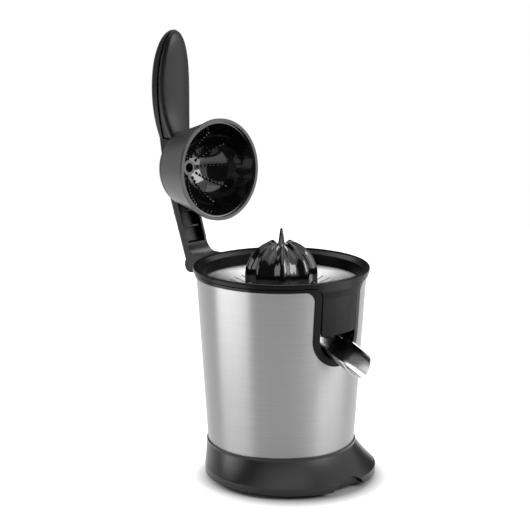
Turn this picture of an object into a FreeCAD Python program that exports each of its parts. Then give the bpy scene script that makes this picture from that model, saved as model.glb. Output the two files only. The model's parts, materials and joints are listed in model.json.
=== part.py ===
"""Lever-arm citrus press juicer, as a parametric assembly of separate pieces, in millimetres.

+Z is up, the spout points along -Y, and the origin is on the table under the axis of the cone.
The arm is modelled raised, leaning back on its stop.
"""
import FreeCAD, Part
import math
import os
import Sketcher
from FreeCAD import Placement, Rotation, Vector

# Driving dimensions: lengths in millimetres, angles in degrees, and counts
SIZES = {
    # base
    "foot_height": 4.0,
    "foot_radius": 8.0,
    "foot_stem_radius": 3.0,
    "foot_spread_x": 46.0,
    "foot_spread_y": 52.0,
    "base_radius": 86.5,
    "base_shift": 13.5,
    "base_wall": 2.5,
    "base_lip": 7.0,
    "base_lip_bevel": 1.2,
    "base_lip_share": 0.92,
    "base_waist": 11.0,
    "base_flare_rise": 10.0,
    "base_waist_share": 0.4,
    "base_rim": 1.5,
    "base_height": 31.0,
    "flange_thickness": 2.0,
    "flange_opening": 59.0,
    "notch_half_width": 22.0,
    "notch_height": 11.0,
    "notch_depth": 8.0,
    "notch_wall_lap": 1.2,
    "plate_thickness": 2.5,
    "plate_gap": 0.4,
    "vent_count": 9.0,
    "vent_width": 3.0,
    "vent_length": 18.0,
    "vent_circle": 32.0,
    "boss_circle": 64.0,
    "boss_angle_back": 20.0,
    "boss_angle_front": 51.0,
    "boss_radius": 4.5,
    "screw_radius": 1.6,
    "screw_head_radius": 3.2,
    "screw_head_height": 1.6,
    "gland_height": 17.0,
    "gland_proud": 2.4,
    "gland_radius": 5.0,
    "gland_flange_radius": 7.5,
    "gland_flange": 2.0,
    "cord_hole_radius": 3.5,
    # steel sleeve
    "steel_tuck": 4.0,
    "steel_bottom_radius": 74.1,
    "steel_top_radius": 85.3,
    "steel_height": 173.8,
    "steel_wall": 0.8,
    "slot_radius": 28.0,
    "slot_corner": 13.5,
    # top well: collar, slot trim, chute and hinge ears
    "collar_proud": 1.7,
    "collar_height": 3.9,
    "well_gap": 0.2,
    "well_wall": 1.8,
    "well_depth": 56.3,
    "well_floor": 2.5,
    "trim_overlap": 2.5,
    "trim_proud": 1.3,
    "chute_radius": 24.0,
    "chute_drop": 48.8,
    "chute_wall": 2.5,
    "chute_reach": 37.3,
    "chute_top_gap": 1.5,
    "seal_radius": 9.0,
    "seal_height": 4.5,
    "seal_gap": 0.15,
    # hinge and arm
    "hinge_reach": 7.9,
    "hinge_rise": 0.5,
    "arm_swing": 94.75,
    "knuckle_radius": 5.5,
    "knuckle_half_width": 7.0,
    "knuckle_gap": 0.5,
    "ear_width": 4.5,
    "ear_relief": 2.0,
    "hinge_pin_radius": 2.0,
    "hinge_bush_wall": 1.6,
    "running_gap": 0.05,
    "bracket_drop": 15.0,
    "heel_reach": 39.3,
    "heel_fall": 11.3,
    "heel_round": 8.0,
    "heel_drop": 6.5,
    "heel_front": 10.8,
    "neck_lean": 21.0,
    "neck_half_width": 14.0,
    "neck_wall": 2.5,
    "neck_front_reach": 37.3,
    "neck_front_rise": 16.7,
    "neck_shelf_reach": 24.8,
    "neck_shelf_rise": 2.5,
    "neck_scoop": 16.0,
    "neck_rib": 1.6,
    "neck_rib_depth": 6.0,
    "bend_drop": 36.5,
    "handle_bend": 290.0,
    "handle_half_width": 21.4,
    "handle_widest_rise": 78.0,
    "handle_tip_rise": 138.5,
    "handle_thickness": 20.0,
    "tip_share": 0.14,
    "tip_lean": 3.5,
    "parting_depth": 11.5,
    "parting_inset": 0.8,
    "handle_edge_round": 5.5,
    "cover_flare": 7.4,
    "cover_edge_round": 5.5,
    "cover_crown": 3.4,
    "shell_wall": 3.0,
    "block_rise": 25.5,
    "block_reach": 28.0,
    "block_head": 2.6,
    "cover_gap": 0.2,
    # press bowl, in the frame of the closed arm
    "mouth_drop": 9.3,
    "mouth_radius": 52.4,
    "mouth_bead": 2.5,
    "mouth_bead_step": 1.2,
    "bowl_depth": 56.0,
    "bowl_shoulder_radius": 40.0,
    "bowl_shoulder_round": 9.0,
    "bowl_wall": 2.0,
    "insert_gap": 0.2,
    "insert_wall": 1.5,
    "insert_space": 1.8,
    "press_rib_count": 10.0,
    "press_rib_width": 1.3,
    "press_rib_height": 0.8,
    "press_rib_start": 14.0,
    "press_rib_level": 58.0,
    "press_rib_end": 78.0,
    "hub_radius": 8.0,
    "hub_hole_radius": 5.0,
    "hub_rise": 0.8,
    "bowl_screw_circle": 11.0,
    "bowl_screw_length": 12.0,
    "spike_room": 2.5,
    # container, strainer and cone
    "rim_proud": 3.2,
    "rim_height": 4.6,
    "rim_width": 2.9,
    "rim_round": 1.4,
    "rim_step": 1.2,
    "cup_wall": 1.6,
    "rim_seat": 0.3,
    "cup_gap": 0.35,
    "cup_depth": 42.8,
    "cup_floor": 2.5,
    "cup_draft": 2.0,
    "cup_bottom_wall": 2.6,
    "cup_tube_radius": 7.0,
    "cup_tube_wall": 2.5,
    "cup_tube_height": 17.5,
    "strainer_inset": 6.3,
    "strainer_seat_drop": 7.2,
    "strainer_seat": 2.4,
    "strainer_gap": 0.4,
    "strainer_sheet": 0.8,
    "strainer_drop": 10.5,
    "strainer_hole": 39.5,
    "strainer_slots": 36.0,
    "strainer_slot_width": 1.4,
    "strainer_slot_length": 13.0,
    "strainer_slot_circle": 46.0,
    "apron_angle": 31.2,
    "apron_drop": 46.1,
    "apron_proud": 1.6,
    "apron_inset": 1.2,
    "apron_flare_drop": 8.8,
    "apron_flare_round": 60.0,
    "web_round": 12.0,
    "web_gap": 0.3,
    "web_angle": 8.0,
    "web_skin": 0.8,
    "outlet_inset": 18.3,
    "outlet_radius": 4.5,
    "outlet_wall": 2.0,
    "outlet_length": 9.0,
    "cone_radius": 36.5,
    "cone_rise": 2.5,
    "cone_drop": 16.8,
    "cone_skirt": 9.0,
    "cone_groove": 4.6,
    "cone_wall": 3.0,
    "cone_rib_count": 8.0,
    "cone_rib_angle": 16.0,
    "cone_rib_round": 1.1,
    "cone_rib_top_radius": 8.5,
    "spike_radius": 3.4,
    "spike_tip_radius": 1.3,
    "spike_rise": 46.7,
    "cone_hub_radius": 9.0,
    "cone_hub_gap": 0.3,
    "press_travel": 2.0,
    # spout
    "spout_inset": 19.3,
    "spout_drop": 57.8,
    "spout_tilt": 21.0,
    "spout_half_width": 19.6,
    "spout_depth": 13.2,
    "spout_rim": 5.4,
    "spout_sheet": 1.2,
    "spout_reach": 53.5,
    "spout_tail": 10.0,
    "spout_tab_radius": 4.0,
    "spout_tab": 3.2,
    "spout_pin_radius": 2.0,
    # chassis, motor and gears
    "chassis_disc": 3.0,
    "chassis_gap": 0.3,
    "chassis_opening": 30.0,
    "post_radius": 4.5,
    "post_spread_x": 42.0,
    "post_spread_y": 32.3,
    "gearbox_y": 12.0,
    "gearbox_drop": 50.0,
    "gearbox_plate": 3.0,
    "gearbox_flange_radius": 57.0,
    "gearbox_inner_radius": 46.6,
    "gearbox_wall": 2.0,
    "gearbox_height": 42.0,
    "shaft_hole_radius": 9.0,
    "stator_half_x": 24.0,
    "stator_front": 24.0,
    "stator_back": 40.0,
    "stator_drop": 38.0,
    "stator_stack": 24.0,
    "rotor_radius": 14.7,
    "rotor_gap": 0.5,
    "rotor_overhang": 1.0,
    "window_half_x": 13.5,
    "window_front": 19.5,
    "window_back": 30.0,
    "coil_thickness": 9.0,
    "coil_gap": 0.3,
    "coil_room": 2.0,
    "motor_bracket": 3.0,
    "motor_bracket_half_y": 7.0,
    "motor_bracket_leg": 6.0,
    "motor_screw_x": 19.6,
    "motor_bush_radius": 4.5,
    "motor_bush_length": 6.0,
    "motor_shaft_radius": 2.5,
    "shaft_drop": 57.5,
    "fan_drop": 57.0,
    "fan_height": 7.5,
    "fan_radius": 20.0,
    "fan_hub_radius": 6.0,
    "fan_blades": 7.0,
    "fan_blade": 1.4,
    "gear_module": 0.9,
    "pinion_teeth": 14.0,
    "wheel_teeth": 56.0,
    "gear_slack": 0.16,
    "first_stage_rise": 6.0,
    "first_stage_width": 6.0,
    "second_stage_rise": 27.6,
    "second_stage_width": 8.0,
    "mesh_margin": 1.0,
    "idler_pin_radius": 3.0,
    "idler_hub_radius": 5.2,
    "spindle_radius": 4.0,
    "spindle_hex": 10.0,
    "spindle_hex_gap": 0.15,
    "spindle_hex_drop": 32.8,
    "spindle_top_drop": 6.3,
    "spindle_bush_radius": 7.0,
    "spindle_bush_length": 8.0,
    "bridge_rise": 15.0,
    "bridge_plate": 3.0,
    "bridge_half_x": 37.0,
    "bridge_half_y": 10.0,
    "bridge_leg": 8.0,
    "bridge_boss": 4.0,
    "bridge_boss_radius": 6.4,
    "thrust_gap": 0.1,
    "thrust_plate": 2.5,
    "thrust_radius": 11.0,
    "thrust_arm_x": 24.0,
    "thrust_arm_width": 7.0,
    "guide_x": 16.0,
    "guide_radius": 2.0,
    "guide_length": 11.5,
    "spring_radius": 8.3,
    "spring_wire": 0.6,
    "spring_turns": 2.5,
    "switch_x": 15.0,
    "switch_length": 13.0,
    "switch_width": 6.4,
    "switch_height": 4.5,
    "plunger_x": 20.0,
    "plunger_length": 3.0,
    "plunger_width": 2.4,
    "plunger_gap": 0.1,
}

doc = FreeCAD.newDocument("citrus_press")
sheet = doc.addObject("Spreadsheet::Sheet", "Sizes")
for row, (alias, number) in enumerate(SIZES.items(), start=1):
    sheet.set(f"A{row}", alias)
    sheet.set(f"B{row}", str(number))
    sheet.setAlias(f"B{row}", alias)
doc.recompute()


class Size:
    """A size that carries its number and the sheet expression that gives it."""

    def __init__(self, number, text):
        self.number = number
        self.text = text

    def __add__(self, other):
        return Size(self.number + num(other), f"({self.text} + {txt(other)})")

    def __radd__(self, other):
        return Size(num(other) + self.number, f"({txt(other)} + {self.text})")

    def __sub__(self, other):
        return Size(self.number - num(other), f"({self.text} - {txt(other)})")

    def __rsub__(self, other):
        return Size(num(other) - self.number, f"({txt(other)} - {self.text})")

    def __mul__(self, other):
        return Size(self.number * num(other), f"({self.text} * {txt(other)})")

    def __rmul__(self, other):
        return Size(num(other) * self.number, f"({txt(other)} * {self.text})")

    def __truediv__(self, other):
        return Size(self.number / num(other), f"({self.text} / {txt(other)})")

    def __rtruediv__(self, other):
        return Size(num(other) / self.number, f"({txt(other)} / {self.text})")

    def __neg__(self):
        return Size(-self.number, f"(0 - {self.text})")


def num(value):
    return value.number if isinstance(value, Size) else float(value)


def txt(value):
    return value.text if isinstance(value, Size) else repr(float(value))


def sine(angle):
    return Size(math.sin(math.radians(num(angle))), f"sin({txt(angle)} * 1 deg)")


def cosine(angle):
    return Size(math.cos(math.radians(num(angle))), f"cos({txt(angle)} * 1 deg)")


def root(value):
    return Size(math.sqrt(num(value)), f"sqrt({txt(value)})")


def larger(first, second):
    return Size(max(num(first), num(second)), f"max({txt(first)}; {txt(second)})")


class Sheet:
    """The driving dimensions by name, each as a Size bound to its cell."""

    def __getattr__(self, alias):
        return Size(SIZES[alias], f"Sizes.{alias}")


D = Sheet()
nodes = []


def bind(obj, prop, value):
    """Give a property its number, and its sheet expression where it has one."""
    if isinstance(value, Size):
        obj.setExpression(prop, value.text)


def place(obj, x=0, y=0, z=0, rotation=None):
    """Put an object at a place that follows the sheet."""
    obj.Placement = Placement(Vector(num(x), num(y), num(z)), rotation or Rotation())
    for axis, value in zip("xyz", (x, y, z)):
        bind(obj, f"Placement.Base.{axis}", value)
    return obj


def node(obj, label):
    """Register an object as a finished sub-part under its own label."""
    obj.Label = label
    nodes.append(obj)
    return obj


# Primitive solids and booleans
ALONG_X = Rotation(Vector(0, 1, 0), 90)


def cylinder(radius, height, x=0, y=0, z=0, rotation=None):
    obj = doc.addObject("Part::Cylinder", "cylinder")
    obj.Radius = num(radius)
    obj.Height = num(height)
    bind(obj, "Radius", radius)
    bind(obj, "Height", height)
    return place(obj, x, y, z, rotation)


def box(size_x, size_y, size_z, x, y, z):
    """A box from its lowest corner."""
    obj = doc.addObject("Part::Box", "box")
    for prop, value in (("Length", size_x), ("Width", size_y), ("Height", size_z)):
        setattr(obj, prop, num(value))
        bind(obj, prop, value)
    return place(obj, x, y, z)


def fuse(*solids):
    obj = doc.addObject("Part::MultiFuse", "fuse")
    obj.Shapes = list(solids)
    return obj


def cut(base, *tools):
    obj = doc.addObject("Part::Cut", "cut")
    obj.Base = base
    obj.Tool = tools[0] if len(tools) == 1 else fuse(*tools)
    return obj


def group(*solids):
    """Several separate solids of one kind."""
    obj = doc.addObject("Part::Compound", "group")
    obj.Links = list(solids)
    return obj


def tube(outer, inner, height, x=0, y=0, z=0, rotation=None):
    """A round sleeve."""
    return cut(cylinder(outer, height, x, y, z, rotation), cylinder(inner, height, x, y, z, rotation))


def screw(length, x, y, z, up=True):
    """A plain cheese-head screw: the head's free face is at z and the shank runs up or down from it."""
    head_z = z if up else z - D.screw_head_height
    shank_z = z + D.screw_head_height if up else z - D.screw_head_height - length
    head = cylinder(D.screw_head_radius, D.screw_head_height, x, y, head_z)
    shank = cylinder(D.screw_radius, length, x, y, shank_z)
    return fuse(head, shank)


# Bodies, sketches and features
class Arc:
    """A step of an outline: an arc of the given radius to a corner, turning left or right."""

    def __init__(self, x, y, radius, left=True):
        self.corner = (x, y)
        self.radius = radius
        self.left = left


def new_body(label):
    return node(doc.addObject("PartDesign::Body", label), label)


def new_sketch(body, plane, offset=0, turn=0):
    """An empty sketch on one of the body's own planes, shifted along the plane's normal."""
    sketch = body.newObject("Sketcher::SketchObject", f"{body.Name}_sketch")
    support = [item for item in body.Origin.OriginFeatures if item.Role == plane][0]
    sketch.AttachmentSupport = (support, [""])
    sketch.MapMode = "FlatFace"
    sketch.AttachmentOffset = Placement(Vector(0, 0, num(offset)), Rotation(Vector(0, 0, 1), turn))
    bind(sketch, "AttachmentOffset.Base.z", offset)
    return sketch


def fix(sketch, constraint, *parts):
    """Add one constraint whose last part is a Size or a number, and bind it to the sheet."""
    index = sketch.addConstraint(Sketcher.Constraint(constraint, *parts[:-1], num(parts[-1])))
    bind(sketch, f"Constraints[{index}]", parts[-1])


def fix_point(sketch, edge, end, x, y):
    """Tie a point of the sketch to its place from the origin."""
    for constraint, value, axis in (("DistanceX", x, -2), ("DistanceY", y, -1)):
        if isinstance(value, Size):
            fix(sketch, constraint, -1, 1, edge, end, value)
        elif value == 0:
            sketch.addConstraint(Sketcher.Constraint("PointOnObject", edge, end, axis))
        else:
            fix(sketch, constraint, -1, 1, edge, end, value)


def arc_curve(start, end, radius, left):
    """The short arc between two corners, as a curve that always turns left."""
    chord = end - start
    half = chord.Length / 2
    rise = math.sqrt(max(radius * radius - half * half, 0.0))
    side = Vector(-chord.y, chord.x, 0).normalize() * (rise if left else -rise)
    centre = (start + end) * 0.5 + side
    first, last = (start, end) if left else (end, start)
    angles = [math.atan2(point.y - centre.y, point.x - centre.x) for point in (first, last)]
    circle = Part.Circle(centre, Vector(0, 0, 1), radius)
    return Part.ArcOfCircle(circle, angles[0], angles[1])


def outline(sketch, *steps):
    """A closed outline from a first corner: each step is the next corner, or an Arc that ends there."""
    path = list(steps[1:])
    corners = [steps[0]] + [step.corner if isinstance(step, Arc) else step for step in path]
    points = [Vector(num(x), num(y), 0) for x, y in corners]
    if points[-1].isEqual(points[0], 1e-6):
        corners.pop()
        points.pop()
    else:
        path.append(steps[0])
    count = len(path)
    edges = []
    for index, step in enumerate(path):
        start, end = points[index], points[(index + 1) % count]
        if isinstance(step, Arc):
            edge = sketch.addGeometry(arc_curve(start, end, num(step.radius), step.left))
            edges.append((edge, 1, 2) if step.left else (edge, 2, 1))
        else:
            edges.append((sketch.addGeometry(Part.LineSegment(start, end)), 1, 2))
    for index, (edge, first, last) in enumerate(edges):
        following = edges[(index + 1) % count]
        sketch.addConstraint(Sketcher.Constraint("Coincident", edge, last, following[0], following[1]))
    for (edge, first, last), (x, y) in zip(edges, corners):
        fix_point(sketch, edge, first, x, y)
    for (edge, first, last), step in zip(edges, path):
        if isinstance(step, Arc):
            fix(sketch, "Radius", edge, step.radius)
    return sketch


def rectangle(sketch, x0, y0, x1, y1):
    return outline(sketch, (x0, y0), (x1, y0), (x1, y1), (x0, y1))


def circle(sketch, radius, x=0, y=0):
    centre = Vector(num(x), num(y), 0)
    edge = sketch.addGeometry(Part.Circle(centre, Vector(0, 0, 1), num(radius)))
    fix_point(sketch, edge, 3, x, y)
    fix(sketch, "Radius", edge, radius)
    return sketch


def feature(body, kind, profile):
    item = body.newObject(f"PartDesign::{kind}", f"{body.Name}_{kind.lower()}")
    item.Profile = profile
    return item


def pad(body, profile, length, both=False, back=False):
    """Extrude a sketch along its normal, to both sides, or back from it."""
    item = feature(body, "Pad", profile)
    item.Length = num(length)
    bind(item, "Length", length)
    item.SideType = "Symmetric" if both else "One side"
    item.Reversed = back
    return item


def pocket(body, profile, length=None, both=False, back=False):
    """Cut a sketch along its normal, to both sides, or back from it; right through with no length.

    A cut runs against the sketch's normal unless it is reversed, so a plain cut here is reversed.
    """
    item = feature(body, "Pocket", profile)
    item.SideType = "Symmetric" if both else "One side"
    item.Reversed = not back
    if length is None:
        item.Type = "ThroughAll"
    else:
        item.Length = num(length)
        bind(item, "Length", length)
    return item


def turn(body, profile, kind="Revolution", angle=360, both=False):
    """Revolve a sketch, or cut by revolving it, about its vertical axis."""
    item = feature(body, kind, profile)
    item.ReferenceAxis = (profile, ["V_Axis"])
    item.Angle = num(angle)
    bind(item, "Angle", angle)
    item.Midplane = both
    return item


def loft(body, kind, sections):
    item = feature(body, kind, sections[0])
    item.Sections = sections[1:]
    return item


def polar(body, originals, count):
    """Repeat features round the vertical axis."""
    item = body.newObject("PartDesign::PolarPattern", f"{body.Name}_pattern")
    item.Originals = originals
    axis = [part for part in body.Origin.OriginFeatures if part.Role == "Z_Axis"][0]
    item.Axis = (axis, [""])
    item.Angle = 360
    item.Occurrences = int(num(count))
    bind(item, "Occurrences", count)
    body.Tip = item
    return item


def fillet(body, radius, wanted):
    """Round the edges of the body's last solid that the test picks."""
    doc.recompute()
    base = body.Tip
    names = [f"Edge{index}" for index, edge in enumerate(base.Shape.Edges, start=1) if wanted(edge)]
    item = body.newObject("PartDesign::Fillet", f"{body.Name}_fillet")
    item.Base = (base, names)
    item.Radius = num(radius)
    bind(item, "Radius", radius)
    return item


# Levels and surfaces that several pieces share
BASE_BOTTOM = D.foot_height
BASE_TOP = BASE_BOTTOM + D.base_height
STEEL_BOTTOM = BASE_TOP - D.steel_tuck
STEEL_TOP = STEEL_BOTTOM + D.steel_height
COLLAR_TOP = STEEL_TOP + D.collar_height
RIM_BOTTOM = COLLAR_TOP + D.rim_seat
RIM_TOP = RIM_BOTTOM + D.rim_height
WELL_FLOOR_TOP = STEEL_TOP - D.well_depth
WELL_FLOOR_BOTTOM = WELL_FLOOR_TOP - D.well_floor
FLANGE_BOTTOM = STEEL_BOTTOM - D.flange_thickness * 2
CHASSIS_BOTTOM = STEEL_BOTTOM - D.flange_thickness
BASE_TOP_RADIUS = D.steel_bottom_radius + D.base_rim
RIM_RADIUS = D.steel_top_radius + D.rim_proud
CUP_BOTTOM = STEEL_TOP - D.cup_depth
STRAINER_RADIUS = D.steel_top_radius - D.strainer_inset
STRAINER_SEAT = STEEL_TOP - D.strainer_seat_drop
OUTLET_Y = D.steel_top_radius - D.outlet_inset
CHUTE_CENTRE = STEEL_TOP - D.chute_drop
CHUTE_BACK = D.steel_top_radius - D.chute_reach
SPOUT_Y = D.steel_top_radius - D.spout_inset
SPOUT_Z = STEEL_TOP - D.spout_drop
HINGE_Y = D.steel_top_radius + D.hinge_reach
HINGE_Z = STEEL_TOP + D.hinge_rise
BOWL_LEVEL = HINGE_Z + HINGE_Y
HEEL_Y = HINGE_Y + D.heel_reach
HEEL_Z = HINGE_Z - D.heel_fall
HANDLE_WIDEST = BOWL_LEVEL + D.handle_widest_rise
TIP_Z = BOWL_LEVEL + D.handle_tip_rise
MOUTH_Z = STEEL_TOP - D.mouth_drop
BOWL_BACK = MOUTH_Z + D.bowl_depth
SPIKE_Z = STEEL_TOP + D.spike_rise
SPINDLE_TOP = STEEL_TOP - D.spindle_top_drop
SPINDLE_HEX_Z = STEEL_TOP - D.spindle_hex_drop
GEARBOX_Z = WELL_FLOOR_BOTTOM - D.gearbox_drop
GEARBOX_FLOOR = GEARBOX_Z + D.gearbox_plate
GEARBOX_TOP = GEARBOX_FLOOR + D.gearbox_height
GEAR_DISTANCE = D.gear_module * (D.pinion_teeth + D.wheel_teeth) / 2
FIRST_STAGE_Z = GEARBOX_Z + D.first_stage_rise
SECOND_STAGE_Z = GEARBOX_Z + D.second_stage_rise
STATOR_Z = GEARBOX_Z - D.stator_drop
FAN_Z = GEARBOX_Z - D.fan_drop
BRIDGE_Z = GEARBOX_Z + D.bridge_rise
BRIDGE_TOP = BRIDGE_Z + D.bridge_plate
THRUST_TOP = SECOND_STAGE_Z - D.thrust_gap
THRUST_BOTTOM = THRUST_TOP - D.thrust_plate
NECK_SHELF_Z = HINGE_Z + D.neck_shelf_rise
FAR = 140.0


def steel_radius(z):
    """Outer radius of the tapered sleeve at a height."""
    taper = (D.steel_top_radius - D.steel_bottom_radius) / D.steel_height
    return D.steel_bottom_radius + (z - STEEL_BOTTOM) * taper


def raised(y, z):
    """Where a point of the closed arm's frame lies when the arm is raised, as (y, z)."""
    across, up = y - HINGE_Y, z - HINGE_Z
    cos, sin = cosine(D.arm_swing), sine(D.arm_swing)
    return HINGE_Y + across * cos + up * sin, HINGE_Z - across * sin + up * cos


def slot_outline(sketch, half_width, corner, top):
    """The U-shaped slot: round at the bottom, with corners that turn outwards at the sleeve's edge."""
    level = CHUTE_CENTRE
    shoulder = STEEL_TOP - corner
    flare = half_width + corner
    return outline(
        sketch,
        (0, level - half_width),
        Arc(half_width, level, half_width),
        (half_width, shoulder),
        Arc(flare, STEEL_TOP, corner, left=False),
        (flare, top),
        (-flare, top),
        (-flare, STEEL_TOP),
        Arc(-half_width, shoulder, corner, left=False),
        (-half_width, level),
        Arc(0, level - half_width, half_width),
    )


def straight_slot(sketch, half_width, top):
    """The same slot with straight sides up to a level."""
    level = CHUTE_CENTRE
    return outline(
        sketch,
        (0, level - half_width),
        Arc(half_width, level, half_width),
        (half_width, top),
        (-half_width, top),
        (-half_width, level),
        Arc(0, level - half_width, half_width),
    )


# Base: skirt, plate, feet, screws and cord gland
def boss_places():
    """Centres of the four screw bosses in the base."""
    for angle, side in ((D.boss_angle_back, 1), (D.boss_angle_front, -1)):
        for hand in (1, -1):
            yield D.boss_circle * cosine(angle) * hand, D.boss_circle * sine(angle) * side


def foot_places():
    """Centres of the four feet."""
    for side in (1, -1):
        for hand in (1, -1):
            yield D.foot_spread_x * hand, D.foot_spread_y * side - D.base_shift


def gland_seat():
    """How far back the flat seat of the cord gland lies, clear of the base's widest part."""
    return larger(BASE_TOP_RADIUS, D.base_radius - D.base_shift + D.gland_proud)


def base_section(body, share, z, inset):
    """One level of the flared base: 0 is the round top and 1 the wide foot, shifted to the front."""
    radius = BASE_TOP_RADIUS + (D.base_radius - BASE_TOP_RADIUS) * share - inset
    return circle(new_sketch(body, "XY_Plane", z), radius, 0, -D.base_shift * share)


def arch_radius(rise, half_width):
    """Radius of an arch of a given height and half width."""
    return (half_width * half_width + rise * rise) / rise / 2


def base_skirt():
    body = new_body("base_skirt")
    lip_top = BASE_BOTTOM + D.base_lip
    bevel_top = lip_top + D.base_lip_bevel
    waist = lip_top + D.base_waist
    neck = waist + D.base_flare_rise
    flare = ((D.base_lip_share, bevel_top), (D.base_waist_share, waist), (0, neck))
    pad(body, base_section(body, 1, BASE_BOTTOM, 0), D.base_lip)
    bevel_sections = [base_section(body, 1, lip_top, 0), base_section(body, D.base_lip_share, bevel_top, 0)]
    loft(body, "AdditiveLoft", bevel_sections)
    loft(body, "AdditiveLoft", [base_section(body, share, z, 0) for share, z in flare])
    pad(body, base_section(body, 0, neck, 0), BASE_TOP - neck)
    wall = D.base_wall
    pocket(body, base_section(body, 1, BASE_BOTTOM, wall), D.base_lip)
    hollow = [base_section(body, share, z, wall)
              for share, z in ((1, lip_top), (D.base_waist_share, waist), (0, FLANGE_BOTTOM))]
    loft(body, "SubtractiveLoft", hollow)
    pocket(body, circle(new_sketch(body, "XY_Plane", 0), D.flange_opening))
    seat = D.steel_bottom_radius - D.steel_wall - D.base_wall
    pocket(body, circle(new_sketch(body, "XY_Plane", CHASSIS_BOTTOM), seat))
    pocket(body, circle(new_sketch(body, "XY_Plane", STEEL_BOTTOM), steel_radius(BASE_TOP) + D.well_gap))
    for x, y in boss_places():
        pad(body, circle(new_sketch(body, "XY_Plane", BASE_BOTTOM + D.plate_thickness), D.boss_radius, x, y),
            FLANGE_BOTTOM - BASE_BOTTOM - D.plate_thickness)
    for x, y in boss_places():
        hole = circle(new_sketch(body, "XY_Plane", BASE_BOTTOM), D.screw_radius, x, y)
        pocket(body, hole, FLANGE_BOTTOM - BASE_BOTTOM - D.flange_thickness)
    # Arched notch in the front lip
    radius = arch_radius(D.notch_height, D.notch_half_width)
    centre = BASE_BOTTOM + D.notch_height - radius
    arch = circle(new_sketch(body, "XZ_Plane", D.boss_circle), radius, 0, centre)
    pocket(body, arch)
    wall_top = BASE_BOTTOM + D.notch_height + D.notch_wall_lap
    side = D.notch_half_width + D.notch_wall_lap * 4
    foot = BASE_BOTTOM + D.plate_thickness + D.plate_gap
    inner = D.notch_half_width - D.plate_gap
    face = D.base_radius + D.base_shift - D.notch_depth
    shoulder = wall_top - D.notch_height / 2
    crown = arch_radius(wall_top - shoulder, side)
    back_wall = outline(
        new_sketch(body, "XZ_Plane", face - D.base_wall),
        (-inner, BASE_BOTTOM), (inner, BASE_BOTTOM), (inner, foot), (side, foot), (side, shoulder),
        Arc(0, wall_top, crown), Arc(-side, shoulder, crown), (-side, foot), (-inner, foot),
    )
    pad(body, back_wall, D.base_wall)
    # Flat seat and hole for the cord gland at the back
    back = gland_seat()
    seat_start = D.boss_circle + D.boss_radius
    seat_radius = D.gland_flange_radius + D.well_gap
    pad(body, circle(new_sketch(body, "XZ_Plane", -seat_start), seat_radius, 0, D.gland_height),
        back - seat_start, back=True)
    pocket(body, circle(new_sketch(body, "XZ_Plane", -seat_start), D.gland_radius, 0, D.gland_height),
           back=True)


def base_plate():
    body = new_body("base_plate")
    shift = -D.base_shift
    radius = D.base_radius - D.base_wall - D.plate_gap
    pad(body, circle(new_sketch(body, "XY_Plane", BASE_BOTTOM), radius, 0, shift), D.plate_thickness)
    bite = rectangle(new_sketch(body, "XY_Plane", BASE_BOTTOM), -D.notch_half_width, shift - radius - 1,
                     D.notch_half_width, shift - radius + D.notch_height)
    pocket(body, bite, D.plate_thickness)
    for x, y in foot_places():
        stem = circle(new_sketch(body, "XY_Plane", BASE_BOTTOM), D.foot_stem_radius, x, y)
        pocket(body, stem, D.plate_thickness)
    for x, y in boss_places():
        sketch = circle(new_sketch(body, "XY_Plane", BASE_BOTTOM), D.screw_radius + D.well_gap, x, y)
        pocket(body, sketch, D.plate_thickness)
    half_length, half_width = D.vent_length / 2, D.vent_width / 2
    slot = rectangle(new_sketch(body, "XY_Plane", BASE_BOTTOM), D.vent_circle - half_length, -half_width,
                     D.vent_circle + half_length, half_width)
    vent = pocket(body, slot, D.plate_thickness)
    polar(body, [vent], D.vent_count)


def feet_and_base_screws():
    feet = [
        fuse(cylinder(D.foot_radius, D.foot_height, x, y),
             cylinder(D.foot_stem_radius, D.plate_thickness, x, y, D.foot_height))
        for x, y in foot_places()
    ]
    node(group(*feet), "rubber_feet")
    length = D.plate_thickness + D.boss_radius * 2
    screws = [screw(length, x, y, BASE_BOTTOM - D.screw_head_height) for x, y in boss_places()]
    node(group(*screws), "base_screws")


def cord_gland():
    body = new_body("cord_gland")
    start = D.boss_circle + D.boss_radius
    seat = gland_seat()
    barrel = circle(new_sketch(body, "XZ_Plane", -start), D.gland_radius, 0, D.gland_height)
    pad(body, barrel, seat - start, back=True)
    pad(body, circle(new_sketch(body, "XZ_Plane", -seat), D.gland_flange_radius, 0, D.gland_height),
        D.gland_flange, back=True)
    pocket(body, circle(new_sketch(body, "XZ_Plane"), D.cord_hole_radius, 0, D.gland_height), back=True)


# Steel sleeve and the top well that it carries
def steel_housing():
    body = new_body("steel_housing")
    bottom, top = D.steel_bottom_radius, D.steel_top_radius
    wall = D.steel_wall
    turn(body, outline(new_sketch(body, "XZ_Plane"), (bottom - wall, STEEL_BOTTOM), (bottom, STEEL_BOTTOM),
                       (top, STEEL_TOP), (top - wall, STEEL_TOP)))
    pocket(body, slot_outline(new_sketch(body, "XZ_Plane"), D.slot_radius, D.slot_corner, STEEL_TOP + 1))


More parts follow.
